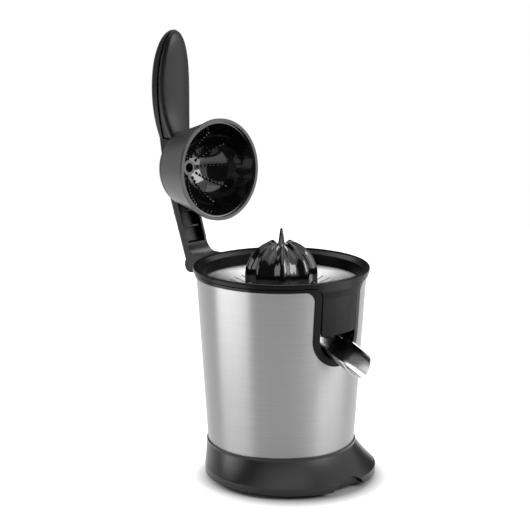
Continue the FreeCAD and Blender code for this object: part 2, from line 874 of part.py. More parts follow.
def top_well():
    body = new_body("top_well")
    trim_low = CHUTE_CENTRE - D.slot_radius - D.trim_overlap - 1
    lift = D.running_gap
    proud = D.trim_proud
    # Slot trim: a thin tapered skin kept only round the slot
    low, high = steel_radius(trim_low), steel_radius(STEEL_TOP)
    turn(body, outline(new_sketch(body, "XZ_Plane"), (low + lift, trim_low), (low + proud, trim_low),
                       (high + proud, STEEL_TOP), (high + lift, STEEL_TOP)))
    back = rectangle(new_sketch(body, "XZ_Plane"), -FAR, trim_low - 1, FAR, STEEL_TOP + 1)
    pocket(body, back, back=True)
    window = rectangle(new_sketch(body, "XZ_Plane"), -FAR, trim_low - 1, FAR, STEEL_TOP + 1)
    slot_outline(window, D.slot_radius + D.trim_overlap, D.slot_corner - D.trim_overlap, STEEL_TOP + 0.5)
    pocket(body, window)
    # Collar, well wall and floor with the seal seat
    skin = D.steel_wall + D.well_gap
    wall = skin + D.well_wall
    collar = D.steel_top_radius + D.collar_proud
    inner = steel_radius(STEEL_TOP) - wall
    seal_top = WELL_FLOOR_TOP + D.seal_height
    shaft = D.spindle_radius + D.spindle_bush_radius / 4
    turn(body, outline(
        new_sketch(body, "XZ_Plane"),
        (steel_radius(STEEL_TOP) - skin, STEEL_TOP), (collar, STEEL_TOP), (collar, COLLAR_TOP - 1),
        (collar - 1, COLLAR_TOP), (inner, COLLAR_TOP),
        (steel_radius(WELL_FLOOR_TOP) - wall, WELL_FLOOR_TOP), (D.seal_radius + D.well_wall, WELL_FLOOR_TOP),
        (D.seal_radius + D.well_wall, seal_top), (D.seal_radius, seal_top), (D.seal_radius, WELL_FLOOR_TOP),
        (shaft, WELL_FLOOR_TOP), (shaft, WELL_FLOOR_BOTTOM),
        (steel_radius(WELL_FLOOR_BOTTOM) - skin, WELL_FLOOR_BOTTOM),
    ))
    # Chute behind the slot, cut flush with the trim
    chute_top = CUP_BOTTOM - D.chute_top_gap
    shell = straight_slot(new_sketch(body, "XZ_Plane", CHUTE_BACK), D.chute_radius + D.chute_wall, chute_top)
    pad(body, shell, D.steel_top_radius - CHUTE_BACK)
    low = CHUTE_CENTRE - D.chute_radius - D.chute_wall - 1
    turn(body, outline(new_sketch(body, "XZ_Plane"), (steel_radius(low) + proud, low), (FAR, low),
                       (FAR, STEEL_TOP), (steel_radius(STEEL_TOP) + proud, STEEL_TOP)), "Groove")
    mouth = straight_slot(new_sketch(body, "XZ_Plane", CHUTE_BACK + D.chute_wall), D.chute_radius, RIM_TOP)
    pocket(body, mouth)
    for hand in (1, -1):
        start = D.spout_half_width - D.spout_tab
        hole = circle(new_sketch(body, "YZ_Plane", start * hand), D.spout_pin_radius, -SPOUT_Y, SPOUT_Z)
        pocket(body, hole, back=hand < 0)
    # Hinge ears at the back
    half = D.knuckle_half_width + D.knuckle_gap + D.ear_width
    seat = D.steel_top_radius + D.trim_proud / 2
    low = HINGE_Z - D.bracket_drop
    tip = HINGE_Y + D.knuckle_radius
    ears = outline(
        new_sketch(body, "YZ_Plane"),
        (seat, low), (HINGE_Y - D.knuckle_radius / 2, low), (tip, HINGE_Z),
        Arc(HINGE_Y, HINGE_Z + D.knuckle_radius, D.knuckle_radius),
        (HINGE_Y - D.knuckle_radius * 0.8, COLLAR_TOP), (seat, COLLAR_TOP),
    )
    pad(body, ears, half * 2, both=True)
    gap = rectangle(new_sketch(body, "YZ_Plane"), HINGE_Y - D.knuckle_radius - D.knuckle_gap, low - 1,
                    tip + 1, HINGE_Z + D.knuckle_radius + 1)
    pocket(body, gap, (D.knuckle_half_width + D.knuckle_gap) * 2, both=True)
    pocket(body, circle(new_sketch(body, "YZ_Plane"), D.hinge_pin_radius, HINGE_Y, HINGE_Z),
           half * 2 + 2, both=True)


def seal_and_pins():
    bore = D.spindle_radius + D.seal_gap
    node(tube(D.seal_radius, bore, D.seal_height, 0, 0, WELL_FLOOR_TOP), "spindle_seal")
    half = D.knuckle_half_width + D.knuckle_gap + D.ear_width
    head = D.screw_head_height
    pin = fuse(
        cylinder(D.hinge_pin_radius, half * 2, -half, HINGE_Y, HINGE_Z, ALONG_X),
        cylinder(D.screw_head_radius, head, half, HINGE_Y, HINGE_Z, ALONG_X),
        cylinder(D.screw_head_radius, head, -half - head, HINGE_Y, HINGE_Z, ALONG_X),
    )
    node(pin, "hinge_pin")
    bush = tube(D.hinge_pin_radius + D.hinge_bush_wall, D.hinge_pin_radius + D.running_gap,
                D.knuckle_half_width * 2, -D.knuckle_half_width, HINGE_Y, HINGE_Z, ALONG_X)
    node(bush, "hinge_bush")
    start = D.spout_half_width - D.spout_tab + D.running_gap
    length = D.chute_radius + D.chute_wall / 2 - start
    pins = [
        cylinder(D.spout_pin_radius, length, start, -SPOUT_Y, SPOUT_Z, ALONG_X),
        cylinder(D.spout_pin_radius, length, -start - length, -SPOUT_Y, SPOUT_Z, ALONG_X),
    ]
    node(group(*pins), "spout_pins")


# Cup, strainer, cone and spout
def apron_front():
    """A plane across the front of the cup that lies between its wall and the webs of its apron."""
    return (D.steel_top_radius + D.collar_proud) * cosine(D.apron_angle / 2 + D.web_angle) - D.web_gap * 2


def juice_container():
    body = new_body("juice_container")
    skin = D.steel_wall + D.well_gap + D.well_wall + D.cup_gap
    top = steel_radius(STEEL_TOP) - skin
    rim = RIM_RADIUS
    width = D.rim_width
    seat = STRAINER_RADIUS + D.strainer_gap
    seat_z = STRAINER_SEAT
    floor = CUP_BOTTOM + D.cup_floor
    low_radius = steel_radius(CUP_BOTTOM) - skin - D.cup_draft
    tube_outer = D.cup_tube_radius + D.cup_tube_wall
    profile = outline(
        new_sketch(body, "XZ_Plane"),
        (top, RIM_BOTTOM), (rim, RIM_BOTTOM), (rim, RIM_TOP - D.rim_round),
        Arc(rim - D.rim_round, RIM_TOP, D.rim_round),
        (rim - width, RIM_TOP), (rim - width, RIM_TOP - D.rim_step),
        (top - D.cup_wall, RIM_BOTTOM), (seat, seat_z + D.strainer_sheet * 2), (seat, seat_z),
        (seat - D.strainer_seat, seat_z),
        (low_radius - D.cup_bottom_wall, floor), (tube_outer, floor),
        (tube_outer, floor + D.cup_tube_height), (D.cup_tube_radius, floor + D.cup_tube_height),
        (D.cup_tube_radius, CUP_BOTTOM), (low_radius, CUP_BOTTOM),
    )
    turn(body, profile)
    # Apron that fills the upper part of the slot
    low, flare = STEEL_TOP - D.apron_drop, STEEL_TOP - D.apron_flare_drop
    proud, inset = D.apron_proud, D.apron_inset
    apron = outline(
        new_sketch(body, "YZ_Plane"),
        (-steel_radius(low) - proud, low), (-steel_radius(low) + inset, low),
        (-steel_radius(RIM_BOTTOM) + inset, RIM_BOTTOM + D.rim_round), (-rim, RIM_BOTTOM + D.rim_round),
        Arc(-steel_radius(flare) - proud, flare, D.apron_flare_round, left=False),
    )
    turn(body, apron, angle=D.apron_angle, both=True)
    # Thin webs that carry the rim round into the apron, in front of the collar
    arch = D.web_round
    collar = D.steel_top_radius + D.collar_proud + D.web_gap
    web_low = RIM_BOTTOM - arch
    trim = steel_radius(web_low) + D.trim_proud + D.web_gap
    skin_depth = D.web_skin
    half = D.apron_angle / 2
    apron_half = rim * sine(half)
    web = outline(
        new_sketch(body, "YZ_Plane"),
        (-trim, web_low), (-collar, STEEL_TOP - skin_depth), (-collar, RIM_BOTTOM + D.rim_round),
        (-collar - skin_depth, RIM_BOTTOM + D.rim_round), (-collar - skin_depth, STEEL_TOP - skin_depth),
        (-trim - skin_depth, web_low),
    )
    turn(body, web, angle=D.apron_angle + D.web_angle * 2, both=True)
    for hand in (1, -1):
        bite = circle(new_sketch(body, "XZ_Plane", apron_front()), arch, (apron_half + arch) * hand, web_low)
        pocket(body, bite)
    # Outlet over the spout
    nozzle = circle(new_sketch(body, "XY_Plane", CUP_BOTTOM - D.outlet_length),
                    D.outlet_radius + D.outlet_wall, 0, -OUTLET_Y)
    pad(body, nozzle, D.outlet_length)
    bore = circle(new_sketch(body, "XY_Plane", CUP_BOTTOM - D.outlet_length), D.outlet_radius, 0, -OUTLET_Y)
    pocket(body, bore, D.outlet_length + D.cup_floor)


def strainer():
    body = new_body("strainer")
    edge = STRAINER_RADIUS
    top = STRAINER_SEAT + D.strainer_sheet
    ledge = D.strainer_seat
    hole = D.strainer_hole
    low = STRAINER_SEAT - D.strainer_drop
    sheet_depth = D.strainer_sheet
    turn(body, outline(
        new_sketch(body, "XZ_Plane"),
        (edge, top - sheet_depth), (edge, top), (edge - ledge, top), (hole, low + sheet_depth),
        (hole, low), (edge - ledge, top - sheet_depth),
    ))
    inner = D.strainer_slot_circle
    slot = rectangle(new_sketch(body, "XY_Plane", low - 1), inner, -D.strainer_slot_width / 2,
                     inner + D.strainer_slot_length, D.strainer_slot_width / 2)
    opening = pocket(body, slot, D.strainer_drop + sheet_depth + 2)
    polar(body, [opening], D.strainer_slots)


def reamer_cone():
    body = new_body("reamer_cone")
    centre = STEEL_TOP + D.cone_rise
    bottom = STEEL_TOP - D.cone_drop
    outer = D.cone_radius
    core = outer - D.cone_groove
    inside = core - D.cone_wall
    skirt_top = bottom + D.cone_skirt
    hub_low = CUP_BOTTOM + D.cup_floor + D.cup_tube_height + D.press_travel + D.cone_hub_gap
    hub = D.cone_hub_radius
    spike_z = centre + root(core * core - D.spike_radius * D.spike_radius)
    hub_z = centre + root(inside * inside - hub * hub)
    turn(body, outline(
        new_sketch(body, "XZ_Plane"),
        (outer, bottom), (outer, skirt_top), (core, skirt_top + D.cone_groove), (core, centre),
        Arc(D.spike_radius, spike_z, core), (D.spike_tip_radius, SPIKE_Z), (0, SPIKE_Z), (0, hub_low),
        (hub, hub_low), (hub, hub_z), Arc(inside, centre, inside, left=False),
        (inside, skirt_top + D.cone_groove), (outer - D.cone_wall, skirt_top), (outer - D.cone_wall, bottom),
    ))
    # Rounded ribs that run up the dome and end round the spike
    end = D.cone_rib_top_radius
    root_radius = core - D.cone_wall / 2
    rib = outline(
        new_sketch(body, "XZ_Plane"),
        (root_radius, skirt_top), (outer, skirt_top), (outer, centre),
        Arc(end, centre + root(outer * outer - end * end), outer),
        (end, centre + root(root_radius * root_radius - end * end)),
        Arc(root_radius, centre, root_radius, left=False),
    )
    sector = turn(body, rib, angle=D.cone_rib_angle, both=True)
    polar(body, [sector], D.cone_rib_count)

    def on_rib(edge):
        middle = edge.valueAt((edge.FirstParameter + edge.LastParameter) / 2)
        reach = math.hypot(math.hypot(middle.x, middle.y), max(middle.z - num(centre), 0))
        meridian = edge.BoundBox.ZLength > 1
        return abs(reach - num(outer)) < 0.01 and meridian and middle.z > num(skirt_top)

    fillet(body, D.cone_rib_round, on_rib)
    # Hexagonal socket for the spindle
    across = D.spindle_hex / 2 + D.spindle_hex_gap
    depth = SPINDLE_TOP - hub_low + D.cone_hub_gap
    pocket(body, hexagon(new_sketch(body, "XY_Plane", hub_low), across), depth)


def hexagon(sketch, half_across):
    """A hexagon given by half its width across flats."""
    corner = half_across / math.cos(math.radians(30))
    turns = [math.radians(60 * step) for step in range(6)]
    return outline(sketch, *[(corner * math.cos(angle), corner * math.sin(angle)) for angle in turns])


def spout():
    body = new_body("spout")
    rim, depth, half = D.spout_rim, D.spout_depth, D.spout_half_width
    sheet_depth = D.spout_sheet
    radius = (half * half + depth * depth) / depth / 2
    inner = radius - sheet_depth
    inner_half = root(inner * inner - (radius - depth) * (radius - depth))
    section = outline(
        new_sketch(body, "XZ_Plane", -D.spout_tail),
        (-half, rim), Arc(0, rim - depth, radius), Arc(half, rim, radius), (inner_half, rim),
        Arc(0, rim - depth + sheet_depth, inner, left=False), Arc(-inner_half, rim, inner, left=False),
    )
    pad(body, section, D.spout_tail + D.spout_reach)
    stop = outline(new_sketch(body, "XZ_Plane", -D.spout_tail), (-half, rim), Arc(0, rim - depth, radius),
                   Arc(half, rim, radius))
    pad(body, stop, sheet_depth)
    # Rounded lip in plan
    reach, tail = D.spout_reach, D.spout_tail
    plan = rectangle(new_sketch(body, "XY_Plane"), -half * 2, -reach - half, half * 2, tail + half)
    outline(plan, (-half - 1, tail + 1), (-half - 1, half + 1 - reach), Arc(0, -reach, half + 1),
            Arc(half + 1, half + 1 - reach, half + 1), (half + 1, tail + 1))
    pocket(body, plan, depth * 4, both=True)
    for hand in (1, -1):
        tab = circle(new_sketch(body, "YZ_Plane", (half - D.spout_tab) * hand), D.spout_tab_radius)
        pad(body, tab, D.spout_tab, back=hand < 0)
        bore = D.spout_pin_radius + D.running_gap
        hole = circle(new_sketch(body, "YZ_Plane", (half - D.spout_tab) * hand), bore)
        pocket(body, hole, back=hand < 0)
    place(body, 0, -SPOUT_Y, SPOUT_Z, Rotation(Vector(1, 0, 0), SIZES["spout_tilt"]))
    bind(body, "Placement.Rotation.Angle", D.spout_tilt)


# Lever arm and press bowl
def handle_lines():
    """Shared points of the arm's side view, by name."""
    lean = D.neck_lean
    bend_z = BOWL_LEVEL - D.bend_drop
    bend_y = HEEL_Y + (bend_z - HEEL_Z) * sine(lean) / cosine(lean)
    back = bend_y - D.handle_bend * cosine(lean) + D.handle_bend
    return {
        "bend": (bend_y, bend_z),
        "back": back,
        "upright": bend_z + D.handle_bend * sine(lean),
        "parting": back - D.parting_depth,
        "block_top": BOWL_LEVEL + D.block_rise,
        "upper": raised(-D.block_reach, BOWL_BACK),
        "lower": raised(D.bowl_shoulder_radius - D.bowl_shoulder_round / 2, BOWL_BACK),
    }


def back_line(side, z):
    """How far back the arm's bent back lies at a level below its upright part."""
    drop = side["upright"] - z
    return side["back"] - D.handle_bend + root(D.handle_bend * D.handle_bend - drop * drop)


def ellipse(share, end):
    """Height of a quarter ellipse at a share of its length, which comes down to the given end."""
    return root(1 - (1 - end * end) * share * share)


def cover_section(half, start, end, corner):
    """Section of the front cover: round corners that run into a crown across its whole front."""
    crown = half * D.cover_crown
    middle = end + crown
    flank = middle - root((crown - corner) * (crown - corner) - (half - corner) * (half - corner))
    lean = (half - corner) / (crown - corner)
    aside = crown * lean
    front = middle - crown * root(1 - lean * lean)
    return (
        (-half, start), (-half, flank), Arc(-aside, front, corner), Arc(aside, front, crown),
        Arc(half, flank, corner), (half, start),
    )


def back_section(half, start, end, corner):
    """Section of the back shell: a flat back between round corners."""
    return (
        (-half, start), (-half, end - corner), Arc(corner - half, end, corner, left=False),
        (half - corner, end), Arc(half, end - corner, corner, left=False), (half, start),
    )


def handle_shell(body, floor, inset, face, rounding, front):
    """Loft one shell of the handle from its floor to the tip, out from the parting line."""
    side = handle_lines()
    wide = D.handle_half_width
    hand = -1 if front else 1
    sections = []
    for share in (-1.0, -0.7, -0.4, 0.0, 0.3, 0.55, 0.75, 0.9, 1.0):
        start = side["parting"] - (D.cover_gap if front else 0)
        if share < 0:
            z = HANDLE_WIDEST + (HANDLE_WIDEST - floor) * share
            half = wide - (wide - D.neck_half_width) * share * share - inset
            corner = rounding
            end = start - face - D.cover_flare * share * share if front else back_line(side, z) - inset
        else:
            z = HANDLE_WIDEST + (TIP_Z - HANDLE_WIDEST) * share
            start = start - D.tip_lean * share * share
            half = (wide - inset) * ellipse(share, D.tip_share)
            corner = rounding * ellipse(share * share, D.tip_share * 1.5)
            end = start + face * ellipse(share * share, D.tip_share * 1.8) * hand
        section = cover_section if front else back_section
        sections.append(outline(new_sketch(body, "XY_Plane", z), *section(half, start, end, corner)))
    loft(body, "AdditiveLoft", sections)


def arm_top_shell():
    body = new_body("arm_top_shell")
    side = handle_lines()
    bend_y, bend_z = side["bend"]
    top, parting = side["block_top"], side["parting"]
    upper, lower = side["upper"], side["lower"]
    knuckle = D.knuckle_radius
    wall = D.shell_wall
    neck = D.neck_half_width
    shelf_reach = root(knuckle * knuckle - D.neck_shelf_rise * D.neck_shelf_rise)
    neck_front = (HINGE_Y + D.neck_front_reach, HINGE_Z + D.neck_front_rise)
    profile = outline(
        new_sketch(body, "YZ_Plane"),
        (HINGE_Y, HINGE_Z - knuckle), (HINGE_Y + D.heel_front, HEEL_Z - D.heel_drop / 2),
        (HEEL_Y - D.heel_round, HEEL_Z - D.heel_drop), Arc(HEEL_Y, HEEL_Z, D.heel_round),
        (bend_y, bend_z), Arc(back_line(side, top), top, D.handle_bend),
        (upper[0] + D.block_head, top), upper, lower,
        neck_front, Arc(HINGE_Y + D.neck_shelf_reach, NECK_SHELF_Z, D.neck_scoop, left=False),
        (HINGE_Y + shelf_reach, NECK_SHELF_Z), Arc(HINGE_Y, HINGE_Z + knuckle, knuckle),
        Arc(HINGE_Y - knuckle, HINGE_Z, knuckle), Arc(HINGE_Y, HINGE_Z - knuckle, knuckle),
    )
    pad(body, profile, neck * 2, both=True)
    lean_y, lean_z = sine(D.neck_lean), cosine(D.neck_lean)

    def on_back(edge):
        """Whether an edge runs up the back of the neck."""
        middle = edge.valueAt((edge.FirstParameter + edge.LastParameter) / 2)
        straight = num(HEEL_Y) + (middle.z - num(HEEL_Z)) * num(lean_y / lean_z)
        bent = num(back_line(side, Size(middle.z, ""))) if middle.z > num(bend_z) else straight
        upright = edge.BoundBox.ZLength > 5 and middle.z > num(HEEL_Z)
        return upright and abs(middle.y - bent) < 0.05 and abs(middle.x) > num(neck) - 0.1

    fillet(body, D.handle_edge_round, on_back)
    handle_shell(body, top, D.well_gap / 4, D.parting_depth, D.handle_edge_round, front=False)
    cavity_top = HANDLE_WIDEST + (TIP_Z - HANDLE_WIDEST) * 0.35
    cavity_back = side["back"] - wall * 1.5
    cavity = rectangle(new_sketch(body, "YZ_Plane"), parting - wall, top + wall, cavity_back, cavity_top)
    pocket(body, cavity, (neck - wall) * 2, both=True)
    # Open channel down the neck, with two cross ribs

    def in_neck(rise, depth):
        """A point of the neck at a rise above the heel and a depth in from its back."""
        return HEEL_Y + rise * lean_y / lean_z - depth * lean_z, HEEL_Z + rise + depth * lean_y

    run = bend_z - HEEL_Z
    first, last = in_neck(run * 0.33, wall), in_neck(run * 0.92, wall)
    channel = outline(new_sketch(body, "YZ_Plane"), (neck_front[0] - wall, first[1]), first, last,
                      (lower[0] - wall, last[1]))
    pocket(body, channel, (neck - D.neck_wall) * 2, both=True)
    for share in (0.52, 0.75):
        low, high = run * share, run * share + D.neck_rib
        rib = outline(new_sketch(body, "YZ_Plane"), in_neck(low, wall / 2), in_neck(high, wall / 2),
                      in_neck(high, wall + D.neck_rib_depth), in_neck(low, wall + D.neck_rib_depth))
        pad(body, rib, neck * 2 - D.neck_wall, both=True)
    # Relief round the hinge ears, the bush hole and room for the spike
    half = D.knuckle_half_width
    for hand in (1, -1):
        relief = circle(new_sketch(body, "YZ_Plane", half * hand), knuckle + D.ear_relief, HINGE_Y, HINGE_Z)
        pocket(body, relief, back=hand < 0)
    bush = D.hinge_pin_radius + D.hinge_bush_wall
    pocket(body, circle(new_sketch(body, "YZ_Plane"), bush, HINGE_Y, HINGE_Z), half * 2 + 2, both=True)
    pocket(body, circle(bowl_face(body), D.hub_hole_radius), D.spike_room)
    for x, y in bowl_screw_places():
        pocket(body, circle(bowl_face(body), D.screw_radius, x, y), D.bowl_screw_length - D.bowl_wall)


def bowl_face(body):
    """An empty sketch on the face of the arm that carries the bowl."""
    sketch = new_sketch(body, "XY_Plane")
    y, z = raised(0, BOWL_BACK)
    tilt = Rotation(Vector(-1, 0, 0), SIZES["arm_swing"])
    sketch.AttachmentOffset = Placement(Vector(0, num(y), num(z)), tilt)
    bind(sketch, "AttachmentOffset.Base.y", y)
    bind(sketch, "AttachmentOffset.Base.z", z)
    bind(sketch, "AttachmentOffset.Rotation.Angle", D.arm_swing)
    return sketch


def arm_under_shell():
    body = new_body("arm_under_shell")
    side = handle_lines()
    floor = side["block_top"] + D.cover_gap
    face = D.handle_thickness - D.parting_depth
    handle_shell(body, floor, D.parting_inset, face, D.cover_edge_round, front=True)
    wall = D.shell_wall
    cavity_top = HANDLE_WIDEST + (TIP_Z - HANDLE_WIDEST) * 0.35
    cavity = rectangle(new_sketch(body, "YZ_Plane"), side["parting"] - face + wall, floor + wall * 2,
                       side["parting"] + wall, cavity_top)
    pocket(body, cavity, (D.neck_half_width - wall) * 2, both=True)


def bowl_rest(body):
    """Turn a piece from the closed arm's frame to the raised arm."""
    y, z = raised(0, 0)
    place(body, 0, y, z, Rotation(Vector(-1, 0, 0), SIZES["arm_swing"]))
    bind(body, "Placement.Rotation.Angle", D.arm_swing)
    return body


def bowl_screw_places():
    """Centres of the three screws that hold the bowl, across the closed arm's frame."""
    for step in range(3):
        angle = math.radians(90 + 120 * step)
        yield D.bowl_screw_circle * math.cos(angle), D.bowl_screw_circle * math.sin(angle)


def press_bowl():
    body = new_body("press_bowl")
    mouth, low = D.mouth_radius, MOUTH_Z
    step = D.mouth_bead_step
    bead = low + D.mouth_bead
    shoulder = D.bowl_shoulder_radius
    rounding = D.bowl_shoulder_round
    wall = D.bowl_wall
    inner_round = rounding - wall
    turn(body, outline(
        new_sketch(body, "XZ_Plane"),
        (mouth - step - wall, low), (mouth, low), (mouth, bead), (mouth - step, bead + step),
        (shoulder, BOWL_BACK - rounding), Arc(shoulder - rounding, BOWL_BACK, rounding), (0, BOWL_BACK),
        (0, BOWL_BACK - wall), (shoulder - rounding, BOWL_BACK - wall),
        Arc(shoulder - wall, BOWL_BACK - rounding, inner_round, left=False),
        (mouth - step - wall, bead + step),
    ))
    pocket(body, circle(new_sketch(body, "XY_Plane", BOWL_BACK - wall), D.hub_hole_radius), wall)
    for x, y in bowl_screw_places():
        pocket(body, circle(new_sketch(body, "XY_Plane", BOWL_BACK - wall), D.screw_radius, x, y), wall)
    bowl_rest(body)


def press_insert():
    body = new_body("press_insert")
    wall = D.insert_wall
    mouth_z = MOUTH_Z + D.mouth_bead
    top = BOWL_BACK - D.bowl_wall - D.insert_space
    mouth = D.mouth_radius - D.mouth_bead_step - D.bowl_wall - D.insert_gap
    # A dome that grows out of a skirt with the bowl's own slope
    slope = (D.mouth_radius - D.mouth_bead_step - D.bowl_shoulder_radius) / (
        D.bowl_depth - D.bowl_shoulder_round - D.mouth_bead - D.mouth_bead_step)
    slant = 1 / root(1 + slope * slope)
    centre = mouth_z + (top - mouth_z - mouth * slant) / (1 - slope * slant)
    dome = top - centre
    inner = dome - wall

    def tangent(radius):
        """Where a dome of the given radius meets its skirt."""
        return radius * slant, centre + radius * slope * slant

    hub, hole = D.hub_radius, D.hub_hole_radius
    hub_face = centre + inner - D.hub_rise - wall / 2
    turn(body, outline(
        new_sketch(body, "XZ_Plane"),
        (mouth - wall / slant, mouth_z), (mouth, mouth_z), tangent(dome),
        Arc(hole, centre + root(dome * dome - hole * hole), dome), (hole, hub_face), (hub, hub_face),
        (hub, centre + root(inner * inner - hub * hub)), Arc(*tangent(inner), inner, left=False),
    ))
    # Ribs that fan out from the hub and sink into the wall near the mouth
    crest = inner - D.press_rib_height
    start, level, end = D.press_rib_start, D.press_rib_level, D.press_rib_end

    def at(radius, angle):
        """A point of the profile at an angle from the axis."""
        return radius * sine(angle), centre + radius * cosine(angle)

    rib = outline(
        new_sketch(body, "XZ_Plane"),
        at(inner + wall / 2, start), at(crest, start), Arc(*at(crest, level), crest, left=False),
        at(inner, end), at(inner + wall / 2, end), Arc(*at(inner + wall / 2, start), inner + wall / 2),
    )
    blade = pad(body, rib, D.press_rib_width, both=True)
    polar(body, [blade], D.press_rib_count)
    bowl_rest(body)


def bowl_screws():
    head_z = BOWL_BACK - D.bowl_wall - D.screw_head_height
    screws = [screw(D.bowl_screw_length, x, y, head_z) for x, y in bowl_screw_places()]
    bowl_rest(node(group(*screws), "bowl_screws"))


# Chassis, motor, gears and switch
def post_places():
    """Centres of the four posts that carry the gearbox."""
    for side in (1, -1):
        for hand in (1, -1):
            yield D.post_spread_x * hand, D.post_spread_y * side + D.gearbox_y


def chassis():
    body = new_body("chassis")
    edge = D.steel_bottom_radius - D.steel_wall - D.base_wall - D.chassis_gap
    pad(body, circle(new_sketch(body, "XY_Plane", CHASSIS_BOTTOM), edge), D.chassis_disc)
    pocket(body, circle(new_sketch(body, "XY_Plane", CHASSIS_BOTTOM), D.chassis_opening), D.chassis_disc)
    coil_back = D.stator_back + D.coil_thickness + D.coil_room
    coil_room = rectangle(new_sketch(body, "XY_Plane", CHASSIS_BOTTOM), -D.window_half_x - D.coil_room, 0,
                          D.window_half_x + D.coil_room, coil_back)
    pocket(body, coil_room, D.chassis_disc)
    depth = D.boss_radius * 2
    for x, y in post_places():
        pad(body, circle(new_sketch(body, "XY_Plane", CHASSIS_BOTTOM), D.post_radius, x, y),
            GEARBOX_Z - CHASSIS_BOTTOM)
    for x, y in post_places():
        pocket(body, circle(new_sketch(body, "XY_Plane", GEARBOX_Z - depth), D.screw_radius, x, y), depth)


def motor_stator():
    body = new_body("motor_stator")
    z, stack = STATOR_Z, D.stator_stack
    sheets = rectangle(new_sketch(body, "XY_Plane", z), -D.stator_half_x, -D.stator_front,
                       D.stator_half_x, D.stator_back)
    pad(body, sheets, stack)
    pocket(body, circle(new_sketch(body, "XY_Plane", z), D.rotor_radius + D.rotor_gap), stack)
    pocket(body, rectangle(new_sketch(body, "XY_Plane", z), -D.window_half_x, D.window_front,
                           D.window_half_x, D.window_back), stack)
    hole = D.screw_radius + D.well_gap
    for hand in (1, -1):
        pocket(body, circle(new_sketch(body, "XY_Plane", z), hole, D.motor_screw_x * hand), stack)


def motor_coil():
    gap, depth = D.coil_gap, D.coil_thickness
    half = D.window_half_x - gap
    leg_y = D.window_back - gap
    leg_width = D.stator_back - D.window_back + gap * 2
    leg_z = STATOR_Z - gap
    leg_height = D.stator_stack + gap * 2
    width, height = leg_width + depth * 2, leg_height + depth * 2
    winding = box(half * 2, width, height, -half, leg_y - depth, leg_z - depth)
    node(cut(winding, box(half * 2, leg_width, leg_height, -half, leg_y, leg_z)), "motor_coil")


def bracket(label, plate_z, leg_z):
    """A bridge across one end of the motor that carries a shaft bush."""
    half_x, half_y = D.stator_half_x, D.motor_bracket_half_y
    leg_half = D.screw_head_radius
    plate = box(half_x * 2, half_y * 2, D.motor_bracket, -half_x, -half_y, plate_z)
    legs = []
    for hand in (1, -1):
        leg_x = D.motor_screw_x * hand - leg_half
        legs.append(box(leg_half * 2, half_y * 2, D.motor_bracket_leg, leg_x, -half_y, leg_z))
    low = STATOR_Z - D.stator_stack
    holes = [cylinder(D.screw_radius + D.well_gap, D.stator_stack * 3, D.motor_screw_x * hand, 0, low)
             for hand in (1, -1)]
    bush_hole = cylinder(D.motor_bush_radius, D.stator_stack * 3, 0, 0, low)
    node(cut(fuse(plate, *legs), bush_hole, *holes), label)


def motor():
    lower = STATOR_Z - D.motor_bracket_leg - D.motor_bracket
    upper = STATOR_Z + D.stator_stack + D.motor_bracket_leg
    bracket("motor_bracket_lower", lower, lower + D.motor_bracket)
    bracket("motor_bracket_upper", upper, upper - D.motor_bracket_leg)
    shaft = D.motor_shaft_radius
    middle = (D.motor_bracket - D.motor_bush_length) / 2
    bushes = [tube(D.motor_bush_radius, shaft + D.running_gap, D.motor_bush_length, 0, 0, z + middle)
              for z in (lower, upper)]
    node(group(*bushes), "motor_bushes")
    length = GEARBOX_FLOOR - lower - 1
    screws = [screw(length, D.motor_screw_x * hand, 0, lower - D.screw_head_height) for hand in (1, -1)]
    node(group(*screws), "motor_screws")
    rotor_z = STATOR_Z - D.rotor_overhang
    node(tube(D.rotor_radius, shaft, D.stator_stack + D.rotor_overhang * 2, 0, 0, rotor_z), "motor_rotor")
    shaft_top = FIRST_STAGE_Z + D.first_stage_width + D.mesh_margin
    shaft_low = GEARBOX_Z - D.shaft_drop
    node(cylinder(shaft, shaft_top - shaft_low, 0, 0, shaft_low), "motor_shaft")


def cooling_fan():
    body = new_body("cooling_fan")
    pad(body, circle(new_sketch(body, "XY_Plane", FAN_Z), D.fan_hub_radius), D.fan_height)
    root_x = D.motor_shaft_radius + D.fan_blade
    half = D.fan_blade / 2
    blade = rectangle(new_sketch(body, "XY_Plane", FAN_Z), root_x, -half, D.fan_radius, half)
    polar(body, [pad(body, blade, D.fan_height)], D.fan_blades)
    pocket(body, circle(new_sketch(body, "XY_Plane", FAN_Z), D.motor_shaft_radius), D.fan_height)


def read(alias):
    """A driving dimension as the sheet holds it."""
    return float(sheet.get(alias))


def gear_solid(teeth_alias, width, z, x=0.0, y=0.0):
    """A spur gear with slim involute teeth, a tooth gap facing each way along Y."""
    module = read("gear_module")
    count = int(read(teeth_alias))
    pitch = module * count / 2
    base = pitch * math.cos(math.radians(20))
    involute = math.tan(math.radians(20)) - math.radians(20)
    half = math.pi / count / 2 - read("gear_slack") / pitch / 2
    flank = []
    for radius in (pitch - 1.125 * module, pitch, pitch + 0.9 * module):
        slope = math.acos(min(base / radius, 1.0))
        flank.append((radius, half + involute - (math.tan(slope) - slope)))
    points = []
    for tooth in range(count):
        middle = 2 * math.pi * (tooth + 0.5) / count
        sides = [(radius, -angle) for radius, angle in flank] + flank[::-1]
        for radius, angle in sides:
            turned = middle + angle
            points.append(Vector(x + radius * math.cos(turned), y + radius * math.sin(turned), z))
    face = Part.Face(Part.makePolygon(points + points[:1]))
    return face.extrude(Vector(0, 0, width))


